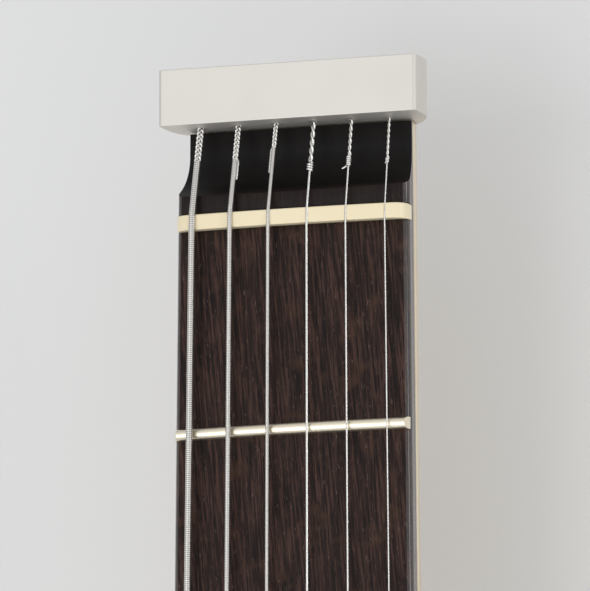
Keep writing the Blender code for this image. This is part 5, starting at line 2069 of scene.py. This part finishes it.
@dataclass
class Tuners:
    """The six tuners: housing and bushing, post with its gear, and the worm's shaft with its button."""

    worm_z: float = 10 * MM
    worm_offset: float = 8.8 * MM
    post: float = 3 * MM
    post_top: float = 35.5 * MM
    post_foot: float = 5.6 * MM
    waist: float = 2.6 * MM
    wrap_top: float = 31.8 * MM
    waist_length: float = 3 * MM
    gear: float = 6 * MM
    tooth: float = 0.8 * MM
    teeth: int = 14
    gear_half: float = 2 * MM
    play: float = 0.4 * MM
    inner: float = 9 * MM
    outer: float = 8 * MM
    back: float = 7.8 * MM
    front: float = 12.8 * MM
    floor: float = 4.3 * MM
    roof: float = 15.7 * MM
    sleeve: float = 4.6 * MM
    sleeve_top: float = 27.2 * MM
    worm: float = 2.4 * MM
    worm_half: float = 5 * MM
    ridges: int = 6
    collar: float = 2.4 * MM
    shaft: float = 1.5 * MM
    reach: float = 22 * MM
    button_length: float = 9.49 * MM
    button: float = 8 * MM
    button_thickness: float = 5 * MM
    dish_inset: float = 2.1 * MM
    dish_depth: float = 0.7 * MM

    def build(self, palette: Palette) -> None:
        """Model one tuner on the post's axis and copy it to the six places, mirrored for the bass side.

        Args:
            palette: the guitar's finishes.
        """
        # Each part's name, master and finish, the CAD piece that it belongs to, and whether that turns
        parts = (
            ("tuner_housing", self.build_housing(), palette.enamel, "tuner_housing", False),
            ("tuner_sleeve", self.build_sleeve(), palette.brass, "tuner_housing", False),
            ("tuner_post", self.build_post(), palette.steel, "tuner_post", True),
            ("tuner_gear", self.build_gear(), palette.brass, "tuner_post", True),
            ("tuner_button", self.build_shaft(), palette.chrome, "tuner_button", True),
            ("tuner_grip", self.build_grip(), palette.chrome, "tuner_button", True),
        )
        for index, number in SCALE.strings():
            side, x, y = SCALE.tuner(index)
            move = Matrix.Translation((x, y, 0)) @ Matrix.Diagonal((side, 1, 1, 1))
            for name, master, finish, owner, turns in parts:
                node = f"{owner}_{number}"
                piece = twin(master, f"{name}_{number}", move)
                dress(piece, finish, node if turns else ROOT, [node] if name == owner else ())
        remove(*(master for _, master, *_ in parts))

    def build_housing(self) -> Piece:
        """Model the closed gear case with its bores.

        Returns:
            The master housing.
        """
        case = cuboid("housing", (-self.inner, -self.back, self.floor), (self.outer, self.front, self.roof))
        rounded(case, 0.8 * MM, segments=3, angle=60)
        room = self.gear_half + self.play
        middle = self.worm_z
        low, high = (0, 0, middle - room), (0, 0, middle + room)
        drill(case, self.gear + self.play, low, high, 40)
        low, high = (0, 0, self.post_foot - 0.3 * MM), (0, 0, self.roof + BEYOND)
        drill(case, self.post + self.play, low, high, 40)
        low, high = (-2 * self.inner, self.worm_offset, middle), (2 * self.outer, self.worm_offset, middle)
        drill(case, self.worm + self.play, low, high, 32)
        return tidy(case, smooth=40)

    def build_sleeve(self) -> Piece:
        """Model the turned bushing that leads the post up through the channel's floor.

        Returns:
            The master bushing.
        """
        bore, edge = self.post + self.play, 0.3 * MM
        profile = [(bore, self.roof), (self.sleeve, self.roof), (self.sleeve, self.sleeve_top - edge)]
        profile += [(self.sleeve - edge, self.sleeve_top), (bore + edge, self.sleeve_top)]
        profile.append((bore, self.sleeve_top - edge))
        return turned("sleeve", profile, (0, 0, 0), Axis.Z, 48)

    def build_post(self) -> Piece:
        """Model the post: its waist, the string's hole and the screwdriver slot in its top.

        Returns:
            The master post.
        """
        radius, waist, edge = self.post, self.waist, 0.5 * MM
        low = self.wrap_top - self.waist_length
        profile = [(0, self.post_top), (radius - edge, self.post_top), (radius, self.post_top - edge)]
        profile += [(radius, self.wrap_top + self.play + radius - waist), (waist, self.wrap_top + self.play)]
        profile += [(waist, low), (radius, low - 1.2 * MM), (radius, self.post_foot), (0, self.post_foot)]
        post = turned("post", profile, (0, 0, 0), Axis.Z, 40)
        z = self.wrap_top + self.play + 1.1 * MM
        drill(post, 0.75 * MM, (0, -5 * MM, z), (0, 5 * MM, z), 20)
        half, deep = 0.4 * MM, 0.8 * MM
        low_corner, high_corner = (-5 * MM, -half, self.post_top - deep), (5 * MM, half, self.post_top + BEYOND)
        cut(post, cuboid("slot", low_corner, high_corner))
        return tidy(post, smooth=35)

    def build_gear(self) -> Piece:
        """Model the worm wheel on the post.

        Returns:
            The master worm wheel.
        """
        points = []
        for tooth in range(self.teeth):
            for share, reach in ((-0.36, -1), (-0.16, 0), (0.16, 0), (0.36, -1)):
                turn = 2 * math.pi * (tooth + share) / self.teeth
                out = self.gear + reach * self.tooth
                points.append((out * math.cos(turn), out * math.sin(turn), self.worm_z - self.gear_half))
        gear = extruded("gear", points, (0, 0, 2 * self.gear_half))
        rounded(gear, 0.12 * MM, segments=1, angle=60)
        low, high = (0, 0, self.worm_z - 5 * MM), (0, 0, self.worm_z + 5 * MM)
        return tidy(drill(gear, self.post - HAIR, low, high, 40), smooth=30)

    def build_shaft(self) -> Piece:
        """Model the worm's shaft and the collar in front of the grip.

        Returns:
            The master shaft.
        """
        half, collar, edge = self.worm_half, self.collar, 0.2 * MM
        top, outer, inner = self.reach + self.button_length / 2, self.reach + 0.6 * MM, self.reach - 0.4 * MM
        profile = [(0, top), (self.shaft, top), (self.shaft, outer), (collar, outer), (collar, inner + edge)]
        profile += [(collar - edge, inner), (self.shaft, inner), (self.shaft, half)]
        step = 2 * half / self.ridges
        for ridge in range(self.ridges):
            here = half - 2 * half * ridge / self.ridges
            profile += [(self.worm, here - 0.3 * step), (self.worm, here - 0.5 * step)]
            profile.append((self.worm * 0.75, here - 0.8 * step))
        profile += [(self.shaft, -half), (self.shaft, -self.inner), (0, -self.inner)]
        return turned("shaft", profile, (0, self.worm_offset, self.worm_z), Axis.X, 32)

    def build_grip(self) -> Piece:
        """Model the button's grip: an oval paddle, rounded all over, with a shallow dish on both faces.

        Returns:
            The master grip.
        """
        points = []
        steps = 40
        for step in range(steps):
            turn = 2 * math.pi * step / steps
            cos, sin = math.cos(turn), math.sin(turn)
            x = math.copysign(abs(cos) ** 0.8, cos) * self.button_length / 2
            y = math.copysign(abs(sin) ** 0.8, sin) * self.button
            points.append((x, y, -self.button_thickness / 2))
        grip = extruded("grip", points, (0, 0, self.button_thickness))
        with editing(grip):
            bpy.ops.mesh.select_mode(type="FACE")
            for sign in (-1, 1):
                bpy.ops.mesh.select_all(action="DESELECT")
                form = bmesh.from_edit_mesh(grip.data)
                for face in form.faces:
                    face.select_set(len(face.verts) > 8 and face.calc_center_median().z * sign > 0)
                bmesh.update_edit_mesh(grip.data)
                bpy.ops.mesh.inset(thickness=self.dish_inset)
                bpy.ops.transform.translate(value=(0, 0, -sign * self.dish_depth))
            bpy.ops.mesh.select_mode(type="VERT")
        tidy(grip)
        rounded(grip, 1.1 * MM, segments=4, angle=40)
        grip.location = (self.reach + self.button_length / 2, self.worm_offset, self.worm_z)
        settle(grip)
        return tidy(grip, smooth=60)


@dataclass
class TrussWheel:
    """The wheel on the truss rod's end, with holes for the pin that turns it."""

    radius: float = 5.5 * MM
    half: float = 3.25 * MM
    y: float = 164.26 * MM
    z: float = 39.5 * MM
    bore: float = 3.4 * MM
    holes: int = 6
    hole: float = 1.0 * MM

    def build(self, palette: Palette) -> None:
        """Model the wheel.

        Args:
            palette: the guitar's finishes.
        """
        profile = chamfered(self.radius, self.half, 0.6 * MM, self.bore)
        wheel = turned("truss_rod_wheel", profile, (0, self.y, self.z), Axis.Y, 60)
        for step in range(self.holes):
            turn = 2 * math.pi * (step + 0.5) / self.holes
            end = (2 * self.radius * math.cos(turn), self.y, self.z + 2 * self.radius * math.sin(turn))
            drill(wheel, self.hole, (0, self.y, self.z), end, 20)
        stand_in(tidy(wheel, smooth=35), palette.steel, "truss_rod_wheel", "truss_rod_wheel")


@dataclass
class Controls:
    """The volume control with its knob, and the output jack with its nut and its washer."""

    x: float = 48 * MM
    y: float = -28 * MM
    knob: float = 9.5 * MM
    knob_low: float = 45.2 * MM
    knob_high: float = 59 * MM
    flutes: int = 40
    shaft: float = 3 * MM
    shaft_foot: float = 34 * MM
    shaft_top: float = 47.6 * MM
    hollow: float = 5.2 * MM
    hollow_top: float = 47.4 * MM
    jack_z: float = 14 * MM
    jack_tip: float = 69.1 * MM
    barrel: float = 4.5 * MM
    nut: float = 7 * MM
    nut_near: float = 66.8 * MM
    nut_far: float = 68.8 * MM

    def build(self, palette: Palette) -> None:
        """Model the knob and the jack round the CAD's hidden bodies.

        Args:
            palette: the guitar's finishes.
        """
        kept("volume_control", palette.steel)
        self.build_knob(palette)
        Refined("output_jack", "steel", 0.15 * MM, angle=50).build(palette)
        points = []
        for step in range(6):
            turn = math.pi / 3 * step
            y, z = self.y + self.nut * math.cos(turn), self.jack_z + self.nut * math.sin(turn)
            points.append((self.nut_near, y, z))
        nut = extruded("jack_nut", points, (self.nut_far - self.nut_near, 0, 0))
        rounded(nut, 0.25 * MM, segments=2, angle=50)
        face, bore, rim, thick = SCALE.body_side, self.barrel + 0.3 * MM, self.nut - 0.1 * MM, 0.3 * MM
        start, end = (face - BEYOND, self.y, self.jack_z), (self.jack_tip + BEYOND, self.y, self.jack_z)
        drill(nut, bore, start, end, 48)
        stand_in(tidy(nut, smooth=35), palette.chrome, "jack_nut")
        ring = [(bore, 0), (rim, 0), (rim, thick), (bore, thick)]
        washer = turned("jack_washer", ring, (face, self.y, self.jack_z), Axis.X, 48)
        dress(washer, palette.steel)

    def build_knob(self, palette: Palette) -> None:
        """Model the fluted knob: a dished top, a skirt, and a filled pointer line.

        Args:
            palette: the guitar's finishes.
        """
        node = "volume_knob"
        low, high, rim = self.knob_low, self.knob_high, self.knob
        knob = fluted(node, rim - 0.3 * MM, 0.35 * MM, self.flutes, low + 2 * MM, high - 0.2 * MM)
        skirt = [(0, low), (rim - 0.2 * MM, low), (rim, low + 0.2 * MM), (rim, low + 1.4 * MM)]
        skirt += [(rim - 0.7 * MM, low + 2.2 * MM), (0, low + 2.2 * MM)]
        cut(knob, turned("skirt", skirt, (0, 0, 0), Axis.Z, 80), join=True)
        dish, above = high - 0.5 * MM, high + BEYOND
        crown = [(0, dish), (rim - 2.6 * MM, dish), (rim - 2.0 * MM, above), (0, above)]
        cut(knob, turned("dish", crown, (0, 0, 0), Axis.Z, 64))
        inner, roof, below = self.hollow, self.hollow_top, low - BEYOND
        cut(knob, turned("hollow", [(0, below), (inner, below), (inner, roof), (0, roof)], (0, 0, 0), Axis.Z, 40))
        knob.location = (self.x, self.y, 0)
        tidy(settle(knob), smooth=35)
        stand_in(knob, palette.black, node, node)
        start = (self.x, self.y, self.shaft_foot)
        stem = round_bar("volume_shaft", self.shaft - 0.02 * MM, start, (self.x, self.y, self.shaft_top), 32)
        dress(tidy(stem), palette.steel, node)
        half = 0.45 * MM
        low_corner = (self.x - half, self.y + 3 * MM, high - 0.8 * MM)
        high_corner = (self.x + half, self.y + rim - 0.9 * MM, high - 0.05 * MM)
        line = rounded(cuboid("volume_pointer", low_corner, high_corner), 0.1 * MM, 2)
        dress(line, palette.white, node)


@dataclass
class Covers:
    """The two plates in the back, with rounded corners and countersunk screws."""

    inset: float = 4.2 * MM
    corner: float = 1.0 * MM
    body_corner: float = 14.3 * MM
    body_corner_inset: float = 6.8 * MM
    sunk: float = 0.06 * MM
    edge: float = 0.3 * MM

    def build(self, palette: Palette) -> None:
        """Model both covers and their screws.

        Args:
            palette: the guitar's finishes.
        """
        screw = Screw(2.2 * MM, 0, 1.2 * MM, 6 * MM, flat=True).build()
        for node, rows in (("tuner_cover", (0.0, 0.5, 1.0)), ("electrics_cover", (0.0, 1.0))):
            low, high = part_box(node)
            half_x, half_y = (high[0] - low[0]) / 2, (high[1] - low[1]) / 2
            x, y = (high[0] + low[0]) / 2, (high[1] + low[1]) / 2
            last = self.body_corner if node == "electrics_cover" else None
            flat = rounded_rectangle(half_x, half_y, self.corner, 10, last)
            outline = [(x + a, y + b, low[2]) for a, b in flat]
            plate = extruded(node, outline, (0, 0, high[2] - low[2]))
            bevel_where(plate, self.edge, 2, lambda place, floor=low[2]: place.z < floor + HAIR)
            places = []
            for sign in (-1, 1):
                for row in rows:
                    inset = self.body_corner_inset if last and sign > 0 and row == 0.0 else self.inset
                    across, along = sign * (half_x - inset), (2 * row - 1) * (half_y - inset)
                    places.append((x + across, y + along, low[2] - HAIR))
            sink, shank, above, lip, foot = 2.35 * MM, 1.3 * MM, 0.4 * MM, 0.1 * MM, -4 * MM
            profile = [(0, above), (sink, above), (sink, -lip), (shank, shank - sink - lip), (shank, foot), (0, foot)]
            for place in places:
                cut(plate, turned("countersink", profile, place, Axis.MINUS_Z, 32))
            stand_in(tidy(plate, smooth=35), palette.black, node)
            for count, place in enumerate(places, start=1):
                inner = (place[0], place[1], place[2] + self.sunk)
                name = f"{node}_screw_{count}"
                Screw.place(screw, name, inner, Axis.MINUS_Z, palette.steel, turn=0.35 * count)
        remove(screw)


@dataclass
class StrapButtons:
    """The two strap buttons, each held by a crossed screw."""

    rim: float = 7 * MM
    waist: float = 3.5 * MM
    high: float = 12 * MM
    lip: float = 1.6 * MM
    foot: float = 2 * MM
    gap: float = 0.3 * MM

    def build(self, palette: Palette) -> None:
        """Model both buttons with a smooth waist.

        Args:
            palette: the guitar's finishes.
        """
        screw = Screw(2.9 * MM, 1.3 * MM, 1.6 * MM, 6 * MM).build()
        low, high = self.foot, self.high - self.lip - 1.2 * MM
        profile = [(0, self.high - 1.4 * MM), (3.3 * MM, self.high - 1.4 * MM), (3.9 * MM, self.high - 0.5 * MM)]
        profile += [(self.rim - 1.3 * MM, self.high - 0.3 * MM), (self.rim - 0.4 * MM, self.high - 0.8 * MM)]
        profile += [(self.rim, self.high - 1.6 * MM), (self.rim - 0.3 * MM, self.high - 2.4 * MM)]
        steps = 10
        for step in range(steps + 1):
            share = step / steps
            radius = self.waist + (2 * share - 1) ** 4 * (1.9 * MM if share < 0.5 else 1.4 * MM)
            profile.append((radius, high + (low - high) * share))
        profile += [(self.rim - 1.4 * MM, 1.2 * MM), (self.rim - 1.2 * MM, self.gap), (3.2 * MM, self.gap)]
        profile += [(3.2 * MM, self.gap - 10 * MM), (0, self.gap - 11 * MM)]
        for node, place, axis in (
            ("strap_button_tail", (0, -54.5 * MM, 13.5 * MM), Axis.MINUS_Y),
            ("strap_button_shoulder", (-43.5 * MM, 216 * MM, 22 * MM), Axis.Y),
        ):
            button = turned(node, profile, place, axis, 64)
            stand_in(button, palette.chrome, node)
            seat = Vector(place) + axis.value * (self.high - 1.38 * MM)
            Screw.place(screw, node + "_screw", tuple(seat), axis, palette.steel)
        remove(screw)


@dataclass
class LapRest:
    """The lap rest: a bent rod that slides in two bushed sockets, with a foam sleeve on its bow."""

    legs: Point = (20 * MM, 172 * MM)
    radius: float = 3.5 * MM
    start: float = 42.9 * MM
    straight: float = 72.5 * MM
    reach: float = 118 * MM
    z: float = 22 * MM
    flatness: float = 0.6
    sleeve: float = 3.3 * MM
    sleeve_ends: Point = (49 * MM, 143 * MM)

    def route(self, steps: int) -> list[Vector]:
        """The rod's axis: two straight legs and a flattened half ellipse between their elbows.

        Args:
            steps: how many pieces the bow has.

        Returns:
            The axis's points.
        """
        near, far = self.legs
        middle, half = (near + far) / 2, (far - near) / 2
        points = [Vector((self.start, near, self.z)), Vector((self.straight - 2 * MM, near, self.z))]
        for step in range(steps + 1):
            turn = math.pi * step / steps
            out = (self.reach - self.radius - self.straight) * math.sin(turn) ** self.flatness
            points.append(Vector((self.straight + out, middle - half * math.cos(turn), self.z)))
        points += [Vector((self.straight - 2 * MM, far, self.z)), Vector((self.start, far, self.z))]
        return points

    def build(self, palette: Palette) -> None:
        """Model the rod, the sleeve and the two bushings.

        Args:
            palette: the guitar's finishes.
        """
        points = smoothed(self.route(18), 5)
        stand_in(swept("lap_rest", points, self.radius, 24), palette.satin, "lap_rest", "lap_rest")
        low, high = self.sleeve_ends
        bow = [point for point in points if low < point.y < high and point.x > self.straight]
        total = sum((after - before).length for before, after in zip(bow, bow[1:]))
        outer, ease = self.radius + self.sleeve, 2.4 * MM

        def thickness(distance: float) -> float:
            """The sleeve's radius, rounded at both ends.

            Args:
                distance: how far along it is.

            Returns:
                The radius there.
            """
            near = min(distance, total - distance)
            share = min(1.0, max(0.0, near / ease))
            return outer - 1.6 * MM * (1 - math.sqrt(1 - (1 - share) ** 2))

        sleeve = swept("lap_rest_sleeve", bow, thickness, 32)
        reach = [point for point in points if low - 8 * MM < point.y < high + 8 * MM and point.x > self.straight]
        cut(sleeve, swept("bore", reach, self.radius + 0.1 * MM, 24))
        stand_in(tidy(sleeve, smooth=60), palette.foam, "lap_rest_sleeve", "lap_rest")
        inner, rim, edge, top = self.radius + 0.4 * MM, self.radius + 2.4 * MM, 0.3 * MM, 1.1 * MM
        ring = [(inner, 0), (rim, 0), (rim, top - edge), (rim - edge, top), (inner + edge, top)]
        ring.append((inner, top - edge))
        for count, y in enumerate(self.legs, start=1):
            bush = turned(f"socket_ring_{count}", ring, (SCALE.body_side, y, self.z), Axis.X, 48)
            dress(bush, palette.chrome)


def smoothed(route: Sequence[Vector], steps: int) -> list[Vector]:
    """A finer route through the same points, its bends rounded.

    Args:
        route: the route's points.
        steps: how many pieces each stretch gets.

    Returns:
        The points of the finer route.
    """
    ends = [route[0] * 2 - route[1], *route, route[-1] * 2 - route[-2]]
    points = []
    for before, here, after, beyond in zip(ends, ends[1:], ends[2:], ends[3:]):
        for step in range(steps):
            share = step / steps
            square, cube = share**2, share**3
            bend = (before * 2 - here * 5 + after * 4 - beyond) * square
            twist = (here * 3 - before - after * 3 + beyond) * cube
            points.append((here * 2 + (after - before) * share + bend + twist) / 2)
    return [*points, route[-1]]


@dataclass
class Stage:
    """Floor, soft light and the camera that looks along the photograph's line of sight."""

    yaw: float = 19.8646
    pitch: float = 9.6694
    distance: float = 2374.75 * MM
    pixels_per_metre: float = 5852.1
    target_px: Point = (290.566, 224.906)
    frame_px: Point = (590.0, 591.0)
    surround: float = 0.86
    lit_place: Place = (0, 0.4, 0.03)
    lamps: tuple[tuple[str, Place, Point, float], ...] = (
        ("key", (-0.6, 0.2, 1.8), (1.2, 1.0), 8.0),
        ("strip", (1.75, 0.95, 0.68), (1.3, 0.3), 5.5),
        ("low", (0.5, -1.3, 0.75), (1.0, 0.6), 7.0),
    )

    def build(self) -> None:
        """Set the camera, the floor and the lights."""
        yaw, pitch = math.radians(self.yaw), math.radians(self.pitch)
        towards = Vector((math.sin(yaw) * math.cos(pitch), -math.sin(pitch), math.cos(yaw) * math.cos(pitch)))
        right = Vector((math.cos(yaw), 0, -math.sin(yaw)))
        up = towards.cross(right)
        target = Vector((0, SCALE.length, SCALE.board_top))
        middle = (self.frame_px[0] / 2, self.frame_px[1] / 2)
        across = (self.target_px[0] - middle[0]) / self.pixels_per_metre
        above = (middle[1] - self.target_px[1]) / self.pixels_per_metre
        camera = linked("camera", bpy.data.cameras.new("camera"))
        turn = Matrix((right, up, towards)).transposed()
        place = target + towards * self.distance - right * across - up * above
        camera.matrix_world = Matrix.Translation(place) @ turn.to_4x4()
        focal_px = self.pixels_per_metre * self.distance
        camera.data.sensor_width = 36.0
        camera.data.lens = focal_px / max(self.frame_px) * camera.data.sensor_width
        camera.data.clip_start = 0.05
        camera.data.clip_end = 20.0
        bpy.context.scene.camera = camera
        self.build_floor()
        self.build_lights()
        bpy.context.scene.view_settings.view_transform = "Standard"

    def build_floor(self) -> None:
        """A plain pale floor under the guitar."""
        deselect()
        bpy.ops.mesh.primitive_plane_add(size=8.0, location=(0, 0.3, -0.0005))
        floor = bpy.context.object
        floor.name = "floor"
        look = Sketch("pale_floor")
        look.set(base_color=linear("#E2E2E2"), roughness=0.85)
        floor.data.materials.append(look.material)

    def build_lights(self) -> None:
        """A bright surround, paler above than at the horizon, with three large soft lamps."""
        world = bpy.data.worlds.new("studio")
        bpy.context.scene.world = world
        world.use_nodes = True
        nodes, links = world.node_tree.nodes, world.node_tree.links
        way = nodes.new("ShaderNodeSeparateXYZ")
        links.new(nodes.new("ShaderNodeTexCoord").outputs["Generated"], way.inputs[0])
        ramp = nodes.new("ShaderNodeValToRGB")
        links.new(way.outputs["Z"], ramp.inputs["Fac"])
        for element, (position, colour) in zip(ramp.color_ramp.elements, ((0.0, "#B9BBBE"), (0.75, "#F2F3F4"))):
            element.position = position
            element.color = linear(colour)
        background = nodes["Background"]
        links.new(ramp.outputs["Color"], background.inputs["Color"])
        background.inputs["Strength"].default_value = self.surround
        for name, place, size, power in self.lamps:
            lamp = bpy.data.lights.new(name, "AREA")
            lamp.shape = "RECTANGLE"
            lamp.size, lamp.size_y = size
            lamp.energy = power
            holder = linked(name, lamp)
            holder.location = place
            aim = Vector(self.lit_place) - Vector(place)
            holder.rotation_euler = aim.to_track_quat("-Z", "Y").to_euler()


FRAME: dict = {}


def main() -> None:
    """Build every sub-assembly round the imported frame."""
    logging.basicConfig(level=logging.INFO, format="%(name)s %(message)s")
    FRAME.update(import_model())
    nut, board = Nut(), Fingerboard()
    # The scoop's painted shade stays below this height; the shelf's painted shade starts behind the nut
    scoop_floor = SCALE.board_top - 0.9 * MM
    palette = Palette(SCALE.length + nut.thickness, SCALE.length + board.shelf, scoop_floor)
    Stage().build()
    HeadBlock().build(palette)
    nut.build(palette)
    board.build(palette, nut)
    Strings().build(palette, nut)
    assemblies = (
        NeckAndBody(),
        Bridge(),
        Pickup(),
        TailRollers(),
        Tuners(),
        TrussWheel(),
        Controls(),
        Covers(),
        StrapButtons(),
        LapRest(),
    )
    for assembly in assemblies:
        log.info("building %s", type(assembly).__name__)
        assembly.build(palette)


if __name__ == "__main__":
    main()
